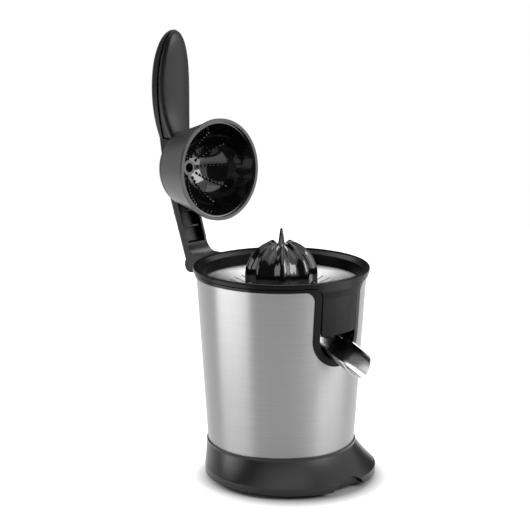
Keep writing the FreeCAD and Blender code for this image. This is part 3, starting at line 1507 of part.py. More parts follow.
def gears():
    margin = read("mesh_margin")
    first_z, first_width = num(FIRST_STAGE_Z), read("first_stage_width")
    second_z, second_width = num(SECOND_STAGE_Z), read("second_stage_width")
    distance = read("gear_module") * (read("pinion_teeth") + read("wheel_teeth")) / 2
    shaft = read("motor_shaft_radius")
    axis = Vector(0, 0, 1)

    width, bottom = first_width + 2 * margin, first_z - margin
    pinion = gear_solid("pinion_teeth", width, bottom)
    pinion = pinion.cut(Part.makeCylinder(shaft, width, Vector(0, 0, bottom), axis))
    node(doc.addObject("Part::Feature", "motor_pinion"), "motor_pinion").Shape = pinion

    low = num(GEARBOX_FLOOR) + 2 * read("thrust_gap")
    mesh_low = second_z - read("press_travel") - margin
    mesh_high = second_z + second_width + margin
    centre = Vector(0, distance, low)
    hub = Part.makeCylinder(read("idler_hub_radius"), mesh_high - low, centre, axis)
    wheel = gear_solid("wheel_teeth", first_width, first_z, 0.0, distance)
    small = gear_solid("pinion_teeth", mesh_high - mesh_low, mesh_low, 0.0, distance)
    bore = Part.makeCylinder(read("idler_pin_radius") + read("running_gap"), mesh_high - low, centre, axis)
    idler = wheel.multiFuse([hub, small]).cut(bore)
    node(doc.addObject("Part::Feature", "idler_gear"), "idler_gear").Shape = idler

    spindle = read("spindle_radius")
    boss = Part.makeCylinder(spindle * 2, second_width + margin, Vector(0, 0, second_z), axis)
    output = gear_solid("wheel_teeth", second_width, second_z).fuse(boss)
    output = output.cut(Part.makeCylinder(spindle, second_width + margin, Vector(0, 0, second_z), axis))
    node(doc.addObject("Part::Feature", "output_gear"), "output_gear").Shape = output


def gearbox():
    body = new_body("gearbox_base")
    plate_z = GEARBOX_Z
    flange = D.gearbox_flange_radius
    pad(body, circle(new_sketch(body, "XY_Plane", plate_z), flange, 0, D.gearbox_y), D.gearbox_plate)
    bracket_top = STATOR_Z + D.stator_stack + D.motor_bracket_leg + D.motor_bracket
    for hand in (1, -1):
        stand = circle(new_sketch(body, "XY_Plane", bracket_top), D.post_radius, D.motor_screw_x * hand)
        pad(body, stand, plate_z - bracket_top)
    holes = [(D.motor_screw_x, 0, D.screw_radius), (-D.motor_screw_x, 0, D.screw_radius),
             (0, 0, D.shaft_hole_radius), (0, GEAR_DISTANCE, D.idler_pin_radius)]
    holes += [(x, y, D.screw_radius) for x, y in post_places()]
    for x, y, radius in holes:
        pocket(body, circle(new_sketch(body, "XY_Plane", bracket_top), radius, x, y))

    cover = new_body("gearbox_cover")
    wall = D.gearbox_wall
    inside = D.gearbox_inner_radius

    def ring(radius):
        """A circle on the cover's lower face, round the middle of the gearbox."""
        return circle(new_sketch(cover, "XY_Plane", GEARBOX_FLOOR), radius, 0, D.gearbox_y)

    pad(cover, ring(flange), wall)
    pad(cover, ring(inside + wall), D.gearbox_height)
    pocket(cover, ring(inside), D.gearbox_height - wall)
    bush, bush_length = D.spindle_bush_radius, D.spindle_bush_length
    boss_z = GEARBOX_TOP - bush_length + wall
    pad(cover, circle(new_sketch(cover, "XY_Plane", boss_z), bush + wall), bush_length)
    pin_z = GEARBOX_TOP - wall * 2
    pin_boss = circle(new_sketch(cover, "XY_Plane", pin_z), D.idler_pin_radius + wall, 0, GEAR_DISTANCE)
    pad(cover, pin_boss, wall * 2)
    pocket(cover, circle(new_sketch(cover, "XY_Plane", GEARBOX_FLOOR), D.spindle_bush_radius))
    pocket(cover, circle(new_sketch(cover, "XY_Plane", pin_z), D.idler_pin_radius, 0, GEAR_DISTANCE), wall)
    for x, y in post_places():
        pocket(cover, circle(new_sketch(cover, "XY_Plane", GEARBOX_FLOOR), D.screw_radius, x, y), wall)
    screw_z = GEARBOX_FLOOR + wall + D.screw_head_height
    length = D.gearbox_plate + wall + D.boss_radius
    node(group(*[screw(length, x, y, screw_z, up=False) for x, y in post_places()]), "gearbox_screws")
    pin_top = pin_z + wall
    node(cylinder(D.idler_pin_radius, pin_top - plate_z, 0, GEAR_DISTANCE, plate_z), "idler_pin")
    bush = tube(D.spindle_bush_radius, D.spindle_radius + D.running_gap, D.spindle_bush_length, 0, 0, boss_z)
    node(bush, "spindle_bush")


def drive_spindle():
    low = BRIDGE_TOP + D.thrust_gap * 3
    shaft = cylinder(D.spindle_radius, SPINDLE_HEX_Z - low, 0, 0, low)
    head = doc.addObject("Part::Prism", "prism")
    head.Polygon = 6
    head.Circumradius = num(D.spindle_hex / 2 / cosine(30))
    head.Height = num(SPINDLE_TOP - SPINDLE_HEX_Z)
    bind(head, "Circumradius", D.spindle_hex / 2 / cosine(30))
    bind(head, "Height", SPINDLE_TOP - SPINDLE_HEX_Z)
    place(head, 0, 0, SPINDLE_HEX_Z)
    node(fuse(shaft, head), "drive_spindle")


def switch_stack():
    """Bridge, thrust plate, spring and switch that the pressed cone works."""
    half_x, half_y = D.bridge_half_x, D.bridge_half_y
    plate = box(half_x * 2, half_y * 2, D.bridge_plate, -half_x, -half_y, BRIDGE_Z)
    legs = [box(D.bridge_leg, half_y * 2, BRIDGE_Z - GEARBOX_FLOOR, x, -half_y, GEARBOX_FLOOR)
            for x in (-half_x, half_x - D.bridge_leg)]
    boss = cylinder(D.bridge_boss_radius, D.bridge_boss, 0, 0, BRIDGE_TOP)
    bore = cylinder(D.spindle_radius + D.running_gap, D.bridge_plate + D.bridge_boss, 0, 0, BRIDGE_Z)
    guide = cylinder(D.guide_radius + D.running_gap, D.bridge_plate, -D.guide_x, 0, BRIDGE_Z)
    node(cut(fuse(plate, boss, *legs), bore, guide), "spindle_bridge")

    disc = cylinder(D.thrust_radius, D.thrust_plate, 0, 0, THRUST_BOTTOM)
    arm = box(D.thrust_arm_x + D.guide_x + D.guide_radius, D.thrust_arm_width, D.thrust_plate,
              -D.guide_x - D.guide_radius, -D.thrust_arm_width / 2, THRUST_BOTTOM)
    peg = cylinder(D.guide_radius, D.guide_length, -D.guide_x, 0, THRUST_BOTTOM - D.guide_length)
    hole = cylinder(D.spindle_radius + D.running_gap, D.thrust_plate, 0, 0, THRUST_BOTTOM)
    node(cut(fuse(disc, arm, peg), hole), "thrust_plate")

    wire = D.spring_wire
    rise = THRUST_BOTTOM - BRIDGE_TOP - wire * 2
    helix = doc.addObject("Part::Helix", "spring_line")
    helix.Radius = num(D.spring_radius)
    helix.Height = num(rise)
    helix.Pitch = num(rise / D.spring_turns)
    bind(helix, "Radius", D.spring_radius)
    bind(helix, "Height", rise)
    bind(helix, "Pitch", rise / D.spring_turns)
    section = doc.addObject("Part::Circle", "spring_wire_section")
    section.Radius = num(wire)
    bind(section, "Radius", wire)
    place(section, D.spring_radius, 0, 0, Rotation(Vector(1, 0, 0), 90))
    spring = doc.addObject("Part::Sweep", "return_spring")
    spring.Sections = [section]
    spring.Spine = helix
    spring.Solid = True
    spring.Frenet = True
    place(spring, 0, 0, BRIDGE_TOP + wire)
    node(spring, "return_spring")

    well_x = D.plunger_x - D.plunger_gap
    width = D.switch_width
    case = box(D.switch_length, width, D.switch_height, D.switch_x, -width / 2, BRIDGE_TOP)
    well_width, well_length = D.plunger_width + D.plunger_gap * 2, D.plunger_length + D.plunger_gap * 2
    well = box(well_length, well_width, D.switch_height, well_x, -well_width / 2, BRIDGE_TOP)
    node(cut(case, well), "micro_switch")
    low = BRIDGE_TOP + D.press_travel + D.plunger_gap
    plunger = box(D.plunger_length, D.plunger_width, THRUST_BOTTOM - D.plunger_gap - low,
                  D.plunger_x, -D.plunger_width / 2, low)
    node(plunger, "switch_plunger")


def check_and_export():
    doc.recompute()
    faults = []
    for obj in doc.Objects:
        if "Invalid" in obj.State or "Error" in obj.State:
            faults.append(f"{obj.Label}: {obj.State}")
    for obj in nodes:
        if obj.Shape.isNull() or not obj.Shape.isValid():
            faults.append(f"{obj.Label}: shape")
    if faults:
        raise RuntimeError("; ".join(faults))
    os.makedirs("parts", exist_ok=True)
    for obj in nodes:
        obj.Shape.exportStep(f"parts/{obj.Label}.step")
        print(f"{obj.Label}: {len(obj.Shape.Solids)} solids, {obj.Shape.Volume / 1000:.2f} cm3")


base_skirt()
base_plate()
feet_and_base_screws()
cord_gland()
steel_housing()
top_well()
seal_and_pins()
juice_container()
strainer()
reamer_cone()
spout()
arm_top_shell()
arm_under_shell()
press_bowl()
press_insert()
bowl_screws()
chassis()
motor_stator()
motor_coil()
motor()
cooling_fan()
gears()
gearbox()
drive_spindle()
switch_stack()
check_and_export()
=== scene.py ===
"""Studio scene of the citrus press juicer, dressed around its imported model, in metres."""

import json
import math

import bpy
from mathutils import Matrix, Vector


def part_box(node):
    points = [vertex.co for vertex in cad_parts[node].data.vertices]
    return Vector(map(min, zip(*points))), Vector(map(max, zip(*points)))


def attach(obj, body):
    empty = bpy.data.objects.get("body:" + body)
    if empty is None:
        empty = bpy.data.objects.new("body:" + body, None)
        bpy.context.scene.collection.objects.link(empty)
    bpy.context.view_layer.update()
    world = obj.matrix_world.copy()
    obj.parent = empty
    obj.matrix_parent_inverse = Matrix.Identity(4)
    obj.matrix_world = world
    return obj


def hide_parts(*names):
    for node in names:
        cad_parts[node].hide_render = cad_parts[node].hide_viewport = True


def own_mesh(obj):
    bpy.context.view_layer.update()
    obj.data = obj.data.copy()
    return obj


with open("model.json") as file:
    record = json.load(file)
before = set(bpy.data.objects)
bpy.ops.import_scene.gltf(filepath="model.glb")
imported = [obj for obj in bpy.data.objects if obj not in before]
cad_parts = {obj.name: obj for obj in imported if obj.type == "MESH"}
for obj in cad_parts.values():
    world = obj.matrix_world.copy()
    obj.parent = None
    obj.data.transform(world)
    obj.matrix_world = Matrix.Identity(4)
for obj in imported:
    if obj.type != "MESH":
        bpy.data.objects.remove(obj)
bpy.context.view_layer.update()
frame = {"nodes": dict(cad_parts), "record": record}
nodes = frame["nodes"]


def toward(azimuth, elevation):
    """A direction from the object: azimuth 0 is the front, and a negative one is to the left of it."""
    level = math.cos(elevation)
    return Vector((math.sin(azimuth) * level, -math.cos(azimuth) * level, math.sin(elevation)))


def joint_named(name):
    """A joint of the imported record."""
    return next(joint for joint in frame["record"]["behaviour"]["joints"] if joint["name"] == name)


# The photograph's camera, solved from the object's own outline
IMAGE_PIXELS = 530
FOCAL_PIXELS = 1827.3
SENSOR_MM = 36.0
CAMERA_AZIMUTH = math.radians(-43.5)
CAMERA_TURN = 0.0092
CAMERA_PITCH = 0.2221
CAMERA_DISTANCE = 1.7846
CAMERA_HEIGHT = 0.6167


def add_camera():
    data = bpy.data.cameras.new("camera")
    data.sensor_width = SENSOR_MM
    data.lens = SENSOR_MM * FOCAL_PIXELS / IMAGE_PIXELS
    camera = bpy.data.objects.new("camera", data)
    bpy.context.scene.collection.objects.link(camera)
    place = toward(CAMERA_AZIMUTH, 0) * CAMERA_DISTANCE
    place.z = CAMERA_HEIGHT
    forward = -toward(CAMERA_AZIMUTH + CAMERA_TURN, CAMERA_PITCH)
    aim = forward.to_track_quat("-Z", "Y").to_matrix().to_4x4()
    camera.matrix_world = Matrix.Translation(place) @ aim
    bpy.context.scene.camera = camera


# Shader helpers
WHITE = (1.0, 1.0, 1.0, 1.0)
BLACK = (0.0, 0.0, 0.0, 1.0)
EVEN = (1.0, 1.0, 1.0)
NOISE_DETAIL = 3.0
NOISE_SPAN = (0.3, 0.7)
COAT_ROUGHNESS = 0.08


def blank_material(name):
    """A new material and its shader."""
    material = bpy.data.materials.new(name)
    material.use_nodes = True
    return material, material.node_tree.nodes["Principled BSDF"]


def new_material(name, color, roughness, metallic=0.0, coat=0.0, specular=0.5):
    """A material of one colour and gloss, before its grain is added."""
    material, shader = blank_material(name)
    shader.inputs["Base Color"].default_value = (*color, 1.0)
    shader.inputs["Roughness"].default_value = roughness
    shader.inputs["Metallic"].default_value = metallic
    shader.inputs["Specular IOR Level"].default_value = specular
    shader.inputs["Coat Weight"].default_value = coat
    shader.inputs["Coat Roughness"].default_value = COAT_ROUGHNESS
    return material


def map_range(tree, source, span, values):
    """Carry a number over from one span of values to another."""
    node = tree.nodes.new("ShaderNodeMapRange")
    node.inputs["From Min"].default_value, node.inputs["From Max"].default_value = span
    node.inputs["To Min"].default_value, node.inputs["To Max"].default_value = values
    tree.links.new(source, node.inputs["Value"])
    return node.outputs["Result"]


def add_grain(material, scale, depth, stretch=EVEN):
    """Fine relief in the surface. A large stretch along an axis makes its marks thin along that axis."""
    tree = material.node_tree
    shader = tree.nodes["Principled BSDF"]
    coordinate = tree.nodes.new("ShaderNodeTexCoord")
    mapping = tree.nodes.new("ShaderNodeMapping")
    mapping.inputs["Scale"].default_value = stretch
    noise = tree.nodes.new("ShaderNodeTexNoise")
    noise.inputs["Scale"].default_value = scale
    noise.inputs["Detail"].default_value = NOISE_DETAIL
    bump = tree.nodes.new("ShaderNodeBump")
    bump.inputs["Strength"].default_value = 1.0
    bump.inputs["Distance"].default_value = depth
    tree.links.new(coordinate.outputs["Object"], mapping.inputs["Vector"])
    tree.links.new(mapping.outputs["Vector"], noise.inputs["Vector"])
    tree.links.new(noise.outputs["Fac"], bump.inputs["Height"])
    tree.links.new(bump.outputs["Normal"], shader.inputs["Normal"])
    return noise


def vary(material, noise, socket, value, share):
    """Let a grey or a number of the shader vary with the grain, by a share of its value each way."""
    tree = material.node_tree
    limits = (value * (1 - share), value * (1 + share))
    varied = map_range(tree, noise.outputs["Fac"], NOISE_SPAN, limits)
    tree.links.new(varied, tree.nodes["Principled BSDF"].inputs[socket])


# Finishes
COOL_TINT = 1.06
BRUSH_LINES = (1.0, 1.0, 130.0)
LAYERS = (1.0, 1.0, 12.0)
QUARTER_TURN = 0.25


def cool_grey(grey):
    """A grey with the slight blue of black plastic."""
    return (grey, grey, grey * COOL_TINT)


def brushed_steel(name, grey, roughness, anisotropy, streak):
    """Steel brushed in level lines round the upright axis, so that its lights stretch up and down."""
    material = new_material(name, (grey, grey, grey), roughness, metallic=1.0)
    noise = add_grain(material, scale=14.0, depth=0.00001, stretch=BRUSH_LINES)
    vary(material, noise, "Base Color", grey, share=streak)
    vary(material, noise, "Roughness", roughness, share=0.15)
    tree = material.node_tree
    shader = tree.nodes["Principled BSDF"]
    tangent = tree.nodes.new("ShaderNodeTangent")
    tangent.direction_type = "RADIAL"
    tangent.axis = "Z"
    tree.links.new(tangent.outputs["Tangent"], shader.inputs["Tangent"])
    shader.inputs["Anisotropic"].default_value = anisotropy
    shader.inputs["Anisotropic Rotation"].default_value = QUARTER_TURN
    return material


def worked_metal(name, color, roughness, stretch=EVEN):
    """Metal as it leaves the tool, with fine marks and an uneven shine."""
    material = new_material(name, color, roughness, metallic=1.0)
    noise = add_grain(material, scale=350.0, depth=0.00002, stretch=stretch)
    vary(material, noise, "Roughness", roughness, share=0.25)
    return material


def moulded(name, grey, roughness, specular=0.3):
    """Moulded plastic with a fine matt grain and a slightly uneven gloss."""
    material = new_material(name, cool_grey(grey), roughness, specular=specular)
    noise = add_grain(material, scale=1500.0, depth=0.00001)
    vary(material, noise, "Roughness", roughness, share=0.08)
    return material


def gloss(name, grey, roughness):
    """Polished plastic with a faint orange peel."""
    material = new_material(name, cool_grey(grey), roughness, coat=0.3)
    add_grain(material, scale=220.0, depth=0.000004)
    return material


MATERIALS = {
    "base_black": moulded("base_plastic", grey=0.008, roughness=0.3, specular=0.36),
    "foot_rubber": moulded("rubber", grey=0.02, roughness=0.8),
    "steel": brushed_steel("brushed_steel", grey=0.26, roughness=0.36, anisotropy=0.75, streak=0.07),
    "steel_bright": brushed_steel("bright_steel", grey=0.42, roughness=0.2, anisotropy=0.2, streak=0.03),
    "trim_black": moulded("trim_plastic", grey=0.003, roughness=0.22, specular=0.12),
    "cup_grey": moulded("cup_plastic", grey=0.005, roughness=0.28, specular=0.1),
    "cone_black": gloss("cone_plastic", grey=0.004, roughness=0.1),
    "handle_black": moulded("handle_plastic", grey=0.007, roughness=0.34, specular=0.24),
    "bowl_grey": moulded("bowl_plastic", grey=0.035, roughness=0.34, specular=0.45),
    "insert_black": gloss("insert_plastic", grey=0.004, roughness=0.08),
    "fixing_steel": worked_metal("fixing_steel", color=(0.5, 0.5, 0.52), roughness=0.3),
    "frame_plastic": moulded("frame_plastic", grey=0.3, roughness=0.5),
    "sheet_steel": worked_metal("sheet_steel", color=(0.5, 0.5, 0.52), roughness=0.4),
    "lamination": worked_metal("lamination", color=(0.2, 0.2, 0.22), roughness=0.5, stretch=LAYERS),
    "winding": worked_metal("winding", color=(0.45, 0.18, 0.06), roughness=0.35, stretch=LAYERS),
    "bearing": worked_metal("bearing_bronze", color=(0.5, 0.35, 0.15), roughness=0.4),
    "gear_white": moulded("gear_plastic", grey=0.72, roughness=0.45),
}
STRAINER_STEEL = brushed_steel("strainer_steel", grey=0.36, roughness=0.38, anisotropy=0.4, streak=0.06)


def dress_nodes():
    """Give every CAD node the finish of its slot, and the strainer a paler steel of its own."""
    for part in frame["record"]["subparts"]:
        obj = nodes[part["node"]]
        obj.data.materials.clear()
        obj.data.materials.append(MATERIALS[part["material_slot"]])
    nodes["strainer"].data.materials[0] = STRAINER_STEEL


def soften(node, voxel, rounds):
    """Round off a moulded node's edges in its look alone."""
    even = nodes[node].modifiers.new("even_mesh", "REMESH")
    even.mode = "VOXEL"
    even.voxel_size = voxel
    even.use_smooth_shade = True
    soft = nodes[node].modifiers.new("soft_edges", "SMOOTH")
    soft.factor = 0.5
    soft.iterations = rounds


# Pieces modelled here
def new_piece(name, points, faces, body, slot):
    """A smooth-shaded mesh that rides on a body and takes a slot's finish."""
    mesh = bpy.data.meshes.new(name)
    mesh.from_pydata(points, [], faces)
    mesh.polygons.foreach_set("use_smooth", [True] * len(mesh.polygons))
    mesh.materials.append(MATERIALS[slot])
    piece = bpy.data.objects.new(name, mesh)
    bpy.context.scene.collection.objects.link(piece)
    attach(piece, body)
    return piece


def ring_piece(name, rings, body, slot):
    """A closed piece through rings of points, one after another, with both end rings capped."""
    columns = len(rings[0])
    points = [point for ring in rings for point in ring]
    faces = []
    for start in range(columns, len(points), columns):
        below = start - columns
        for column in range(columns):
            after = (column + 1) % columns
            faces.append((below + column, below + after, start + after, start + column))
    faces.append(tuple(reversed(range(columns))))
    faces.append(tuple(range(len(points) - columns, len(points))))
    return new_piece(name, points, faces, body, slot)


# Reamer cone: a dome with rounded ribs and hollow flutes, on a plain skirt, with a spike on top
CONE_RIBS = 8
CONE_GROOVE = 0.0046
CONE_WALL = 0.003
CONE_SKIRT = 0.009
CONE_CENTRE_RISE = 0.0193
CONE_EDGE = 0.0007
RIB_SHARPNESS = 1.7
RIB_PHASE = math.radians(4.0)
RIB_TOP = (math.radians(8.0), math.radians(20.0))
FLUTE_FOOT = 0.006
SPIKE_FOOT = 0.0034
SPIKE_TIP = 0.0013
COLUMNS_PER_RIB = 28
CONE_COLUMNS = CONE_RIBS * COLUMNS_PER_RIB
INSIDE_ROWS = 30
SIDE_ROWS = 15
DOME_ROWS = 60


def smooth_step(low, high, value):
    """From nothing at low to one at high, level at both ends."""
    share = min(max((value - low) / (high - low), 0.0), 1.0)
    return share * share * (3 - 2 * share)


def rib_share(turn):
    """From one on the crest of a rib to nothing in the middle of a flute."""
    return ((1 + math.cos(CONE_RIBS * (turn - RIB_PHASE))) / 2) ** RIB_SHARPNESS


def cone_ring(radius, height):
    """Points round the axis, at a radius and a height that are given by the turn."""
    ring = []
    for column in range(CONE_COLUMNS):
        turn = 2 * math.pi * column / CONE_COLUMNS
        ring.append((radius(turn) * math.cos(turn), radius(turn) * math.sin(turn), height(turn)))
    return ring


def plain_ring(radius, height):
    """Points on a level circle round the axis."""
    return cone_ring(lambda turn: radius, lambda turn: height)


def cone_rings():
    """Rings of points from the inside of the dome down its skirt, round the edge and up to the spike."""
    low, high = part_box("reamer_cone")
    outer, bottom, tip = high[0], low[2], high[2]
    core = outer - CONE_GROOVE
    inside = core - CONE_WALL
    centre = bottom + CONE_CENTRE_RISE
    skirt_top = bottom + CONE_SKIRT
    rings = []
    for row in range(1, INSIDE_ROWS + 1):
        angle = math.pi / 2 * row / INSIDE_ROWS
        rings.append(plain_ring(inside * math.sin(angle), centre + inside * math.cos(angle)))
    rings.append(plain_ring(inside, skirt_top + CONE_GROOVE))
    rings.append(plain_ring(outer - CONE_WALL, skirt_top))
    rings.append(plain_ring(outer - CONE_WALL, bottom))
    rings.append(plain_ring(outer - CONE_EDGE, bottom))
    rings.append(plain_ring(outer, bottom + CONE_EDGE))
    for row in range(SIDE_ROWS):
        height = skirt_top + (centre - skirt_top) * row / SIDE_ROWS
        sunk = CONE_GROOVE * smooth_step(skirt_top, skirt_top + FLUTE_FOOT, height)
        rings.append(cone_ring(lambda turn: outer - sunk * (1 - rib_share(turn)), lambda turn: height))
    spike_angle = math.asin(SPIKE_FOOT / core)
    for row in range(DOME_ROWS + 1):
        angle = math.pi / 2 + (spike_angle - math.pi / 2) * row / DOME_ROWS
        proud = CONE_GROOVE * smooth_step(*RIB_TOP, angle)
        rings.append(cone_ring(
            lambda turn: (core + proud * rib_share(turn)) * math.sin(angle),
            lambda turn: centre + (core + proud * rib_share(turn)) * math.cos(angle),
        ))
    rings.append(plain_ring(SPIKE_TIP, tip - CONE_EDGE))
    rings.append(plain_ring(SPIKE_TIP / 2, tip))
    return rings


def add_cone():
    cone = ring_piece("ribbed_cone", cone_rings(), "drive", "cone_black")
    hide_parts("reamer_cone")


# Return spring under the thrust plate, which shortens as the cone is pressed down; the coil here is built
# at one length
SPRING_TURNS = 2.5
SPRING_STEPS = 150
WIRE_RADIUS = 0.0006
WIRE_SIDES = 12


def wire_ring(middle, outward):
    """Points round the wire, in the plane of the axis."""
    ring = []
    for side in range(WIRE_SIDES):
        angle = -2 * math.pi * side / WIRE_SIDES
        spoke = outward * math.cos(angle) + Vector((0, 0, math.sin(angle)))
        ring.append(middle + spoke * WIRE_RADIUS)
    return ring


def add_spring():
    low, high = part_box("return_spring")
    radius = high[0] - WIRE_RADIUS
    length = high[2] - low[2]
    rise = length - 2 * WIRE_RADIUS
    rings = []
    for step in range(SPRING_STEPS + 1):
        share = step / SPRING_STEPS
        turn = 2 * math.pi * SPRING_TURNS * share
        outward = Vector((math.cos(turn), math.sin(turn), 0))
        height = low[2] + WIRE_RADIUS + rise * share
        rings.append(wire_ring(outward * radius + Vector((0, 0, height)), outward))
    spring = ring_piece("coil_spring", rings, "housing", "fixing_steel")
    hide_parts("return_spring")
    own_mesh(spring)


# Teeth on the ribs of the press insert, each a tapered block with its foot in the rib
INSERT_RIBS = 10
INSERT_CENTRE = Vector((0, 0, 0.20102))
INSERT_RADIUS = 0.04518
INSERT_RIB_HEIGHT = 0.0008
TEETH = 9
TEETH_START = math.radians(15.0)
TEETH_END = math.radians(58.0)
TOOTH_HEIGHT = 0.0014
TOOTH_SINK = 0.0003
TOOTH_FOOT = (0.0017, 0.0014)
TOOTH_CREST = (0.0008, 0.0006)
TOOTH_ROUND = 0.0002
BLOCK_CORNERS = ((-1, -1), (1, -1), (1, 1), (-1, 1))
BLOCK_FACES = ((0, 1, 2, 3), (7, 6, 5, 4), (0, 4, 5, 1), (1, 5, 6, 2), (2, 6, 7, 3), (3, 7, 4, 0))


def arm_at_rest():
    """The turn that takes a point of the closed arm to its place on the raised arm."""
    joint = joint_named("arm_lift")
    pivot = Vector(joint["pos_m"])
    swing = Matrix.Rotation(-math.radians(joint["range_deg"][1]), 4, Vector(joint["axis"]))
    return Matrix.Translation(pivot) @ swing @ Matrix.Translation(-pivot)


def tooth_points(turn, angle):
    """Corners of one tooth on the closed arm, at a turn round the axis and an angle from it."""
    outward = Vector((math.cos(turn), math.sin(turn), 0))
    across = Vector((-math.sin(turn), math.cos(turn), 0))
    ray = outward * math.sin(angle) + Vector((0, 0, math.cos(angle)))
    along = outward * math.cos(angle) - Vector((0, 0, math.sin(angle)))
    crest = INSERT_RADIUS - INSERT_RIB_HEIGHT
    levels = ((crest + TOOTH_SINK, TOOTH_FOOT), (crest - TOOTH_HEIGHT, TOOTH_CREST))
    points = []
    for reach, (half_length, half_width) in levels:
        middle = INSERT_CENTRE + ray * reach
        for length, width in BLOCK_CORNERS:
            points.append(middle + along * half_length * length + across * half_width * width)
    return points


def add_insert_teeth():
    rest = arm_at_rest()
    points = []
    faces = []
    for rib in range(INSERT_RIBS):
        turn = 2 * math.pi * rib / INSERT_RIBS
        for tooth in range(TEETH):
            angle = TEETH_START + (TEETH_END - TEETH_START) * tooth / (TEETH - 1)
            first = len(points)
            points.extend(rest @ point for point in tooth_points(turn, angle))
            faces.extend(tuple(first + corner for corner in face) for face in BLOCK_FACES)
    teeth = new_piece("insert_teeth", points, faces, "arm", "insert_black")
    edges = teeth.modifiers.new("round_edges", "BEVEL")
    edges.width = TOOTH_ROUND
    edges.segments = 2


# Floor and world
FLOOR_RADIUS = 1.3
FLOOR_SIDES = 96
# Painted shadow: the floor is mid grey, and its white glow fades to nothing within the radii below of a
# point just in front of the object's axis, so the floor shows darker round the object's foot.
FLOOR_COLOR = (0.42, 0.42, 0.42)
FLOOR_ROUGHNESS = 0.9
PAINTED_SHADOW_RADII = (0.078, 0.106)
PAINTED_SHADOW_CENTRE = (-0.004, -0.022, 0.0)
FLOOR_LIFTS = (0.0, 1.0)
WORLD_LIGHT = 0.25


def seen_rays(tree):
    """One where a ray comes from the camera, a mirror or a clear surface, and nothing elsewhere."""
    path = tree.nodes.new("ShaderNodeLightPath")
    total = path.outputs["Is Camera Ray"]
    for kind in ("Is Glossy Ray", "Is Transmission Ray"):
        either = tree.nodes.new("ShaderNodeMath")
        either.operation = "MAXIMUM"
        tree.links.new(total, either.inputs[0])
        tree.links.new(path.outputs[kind], either.inputs[1])
        total = either.outputs["Value"]
    return total


def add_floor():
    """A grey floor with a white glow that fades out near the object: a painted shadow round its foot,
    inside which the lamps' own shadow also shows.
    """
    bpy.ops.mesh.primitive_circle_add(radius=FLOOR_RADIUS, vertices=FLOOR_SIDES, fill_type="NGON")
    floor = bpy.context.object
    floor.name = "floor"
    material, shader = blank_material("floor")
    shader.inputs["Base Color"].default_value = (*FLOOR_COLOR, 1.0)
    shader.inputs["Roughness"].default_value = FLOOR_ROUGHNESS
    shader.inputs["Specular IOR Level"].default_value = 0.0
    shader.inputs["Emission Color"].default_value = WHITE
    tree = material.node_tree
    coordinate = tree.nodes.new("ShaderNodeTexCoord")
    distance = tree.nodes.new("ShaderNodeVectorMath")
    distance.operation = "DISTANCE"
    distance.inputs[1].default_value = PAINTED_SHADOW_CENTRE
    lift = tree.nodes.new("ShaderNodeMath")
    lift.operation = "MULTIPLY"
    tree.links.new(coordinate.outputs["Object"], distance.inputs[0])
    tree.links.new(seen_rays(tree), lift.inputs[0])
    # Painted shadow: the glow fades to nothing close to the object.
    tree.links.new(map_range(tree, distance.outputs["Value"], PAINTED_SHADOW_RADII, FLOOR_LIFTS), lift.inputs[1])
    tree.links.new(lift.outputs["Value"], shader.inputs["Emission Strength"])
    floor.data.materials.append(material)


def add_world():
    """A soft even light from all round, which is white where it is seen."""
    world = bpy.data.worlds.new("world")
    bpy.context.scene.world = world
    world.use_nodes = True
    tree = world.node_tree
    background = tree.nodes["Background"]
    background.inputs["Color"].default_value = WHITE
    background.inputs["Strength"].default_value = WORLD_LIGHT
    seen = tree.nodes.new("ShaderNodeBackground")
    seen.inputs["Color"].default_value = WHITE
    seen.inputs["Strength"].default_value = 1.0
    mix = tree.nodes.new("ShaderNodeMixShader")
    tree.links.new(seen_rays(tree), mix.inputs["Fac"])
    tree.links.new(background.outputs["Background"], mix.inputs[1])
    tree.links.new(seen.outputs["Background"], mix.inputs[2])
    tree.links.new(mix.outputs["Shader"], tree.nodes["World Output"].inputs["Surface"])


# Studio cards and lamps, with azimuths and elevations in degrees
OBJECT_MIDDLE = Vector((0, 0, 0.2))


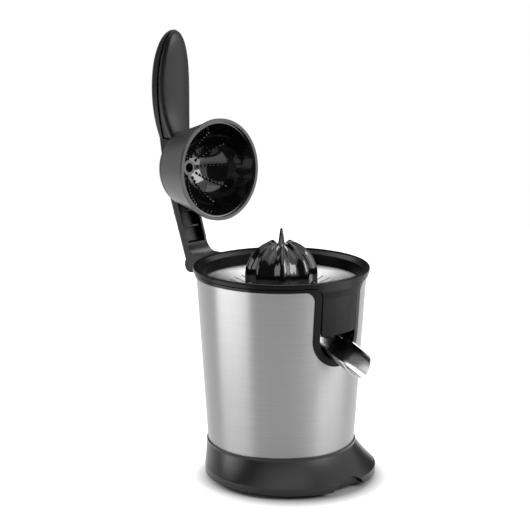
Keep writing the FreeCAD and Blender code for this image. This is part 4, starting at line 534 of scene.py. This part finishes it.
def add_card(name, azimuth, distance, width, height, glow):
    """An upright studio card on the floor that shows in glossy surfaces and never in the picture itself."""
    bpy.ops.mesh.primitive_plane_add(size=1.0)
    card = bpy.context.object
    card.name = name
    card.scale = (width, height, 1.0)
    direction = toward(math.radians(azimuth), 0)
    card.location = direction * distance + Vector((0, 0, height / 2))
    card.rotation_euler = (-direction).to_track_quat("-Z", "Y").to_euler()
    material, shader = blank_material(name)
    shader.inputs["Base Color"].default_value = BLACK
    shader.inputs["Specular IOR Level"].default_value = 0.0
    shader.inputs["Emission Color"].default_value = WHITE
    shader.inputs["Emission Strength"].default_value = glow
    card.data.materials.append(material)
    card.visible_camera = False
    card.visible_diffuse = False
    card.visible_shadow = False


def add_lamp(name, azimuth, elevation, distance, width, height, power):
    """A soft box lamp that looks at the middle of the object."""
    data = bpy.data.lights.new(name, "AREA")
    data.shape = "RECTANGLE"
    data.size = width
    data.size_y = height
    data.energy = power
    lamp = bpy.data.objects.new(name, data)
    bpy.context.scene.collection.objects.link(lamp)
    direction = toward(math.radians(azimuth), math.radians(elevation))
    lamp.location = direction * distance + OBJECT_MIDDLE
    lamp.rotation_euler = (-direction).to_track_quat("-Z", "Y").to_euler()


add_camera()
dress_nodes()
soften("arm_under_shell", voxel=0.0009, rounds=24)
add_cone()
add_spring()
add_insert_teeth()
add_floor()
add_world()
add_card("front_card", azimuth=-49, distance=2.4, width=3.4, height=2.6, glow=0.05)
add_card("left_card", azimuth=-117, distance=1.7, width=2.4, height=2.2, glow=0.04)
add_card("left_glow", azimuth=-110, distance=0.55, width=0.52, height=0.22, glow=5.5)
add_card("right_glow", azimuth=50, distance=1.2, width=0.35, height=1.0, glow=3.0)
add_card("right_band", azimuth=30, distance=0.6, width=0.5, height=0.22, glow=5.0)
add_card("back_card", azimuth=136, distance=2.4, width=4.6, height=1.8, glow=0.05)
add_lamp("key", azimuth=22, elevation=26, distance=1.3, width=0.7, height=0.7, power=13)
add_lamp("top", azimuth=-40, elevation=80, distance=1.5, width=1.2, height=1.2, power=4)
add_lamp("left", azimuth=-120, elevation=8, distance=1.5, width=0.8, height=1.0, power=6)
add_lamp("back", azimuth=136, elevation=50, distance=1.6, width=1.4, height=0.7, power=14)
bpy.context.scene.view_settings.view_transform = "Standard"
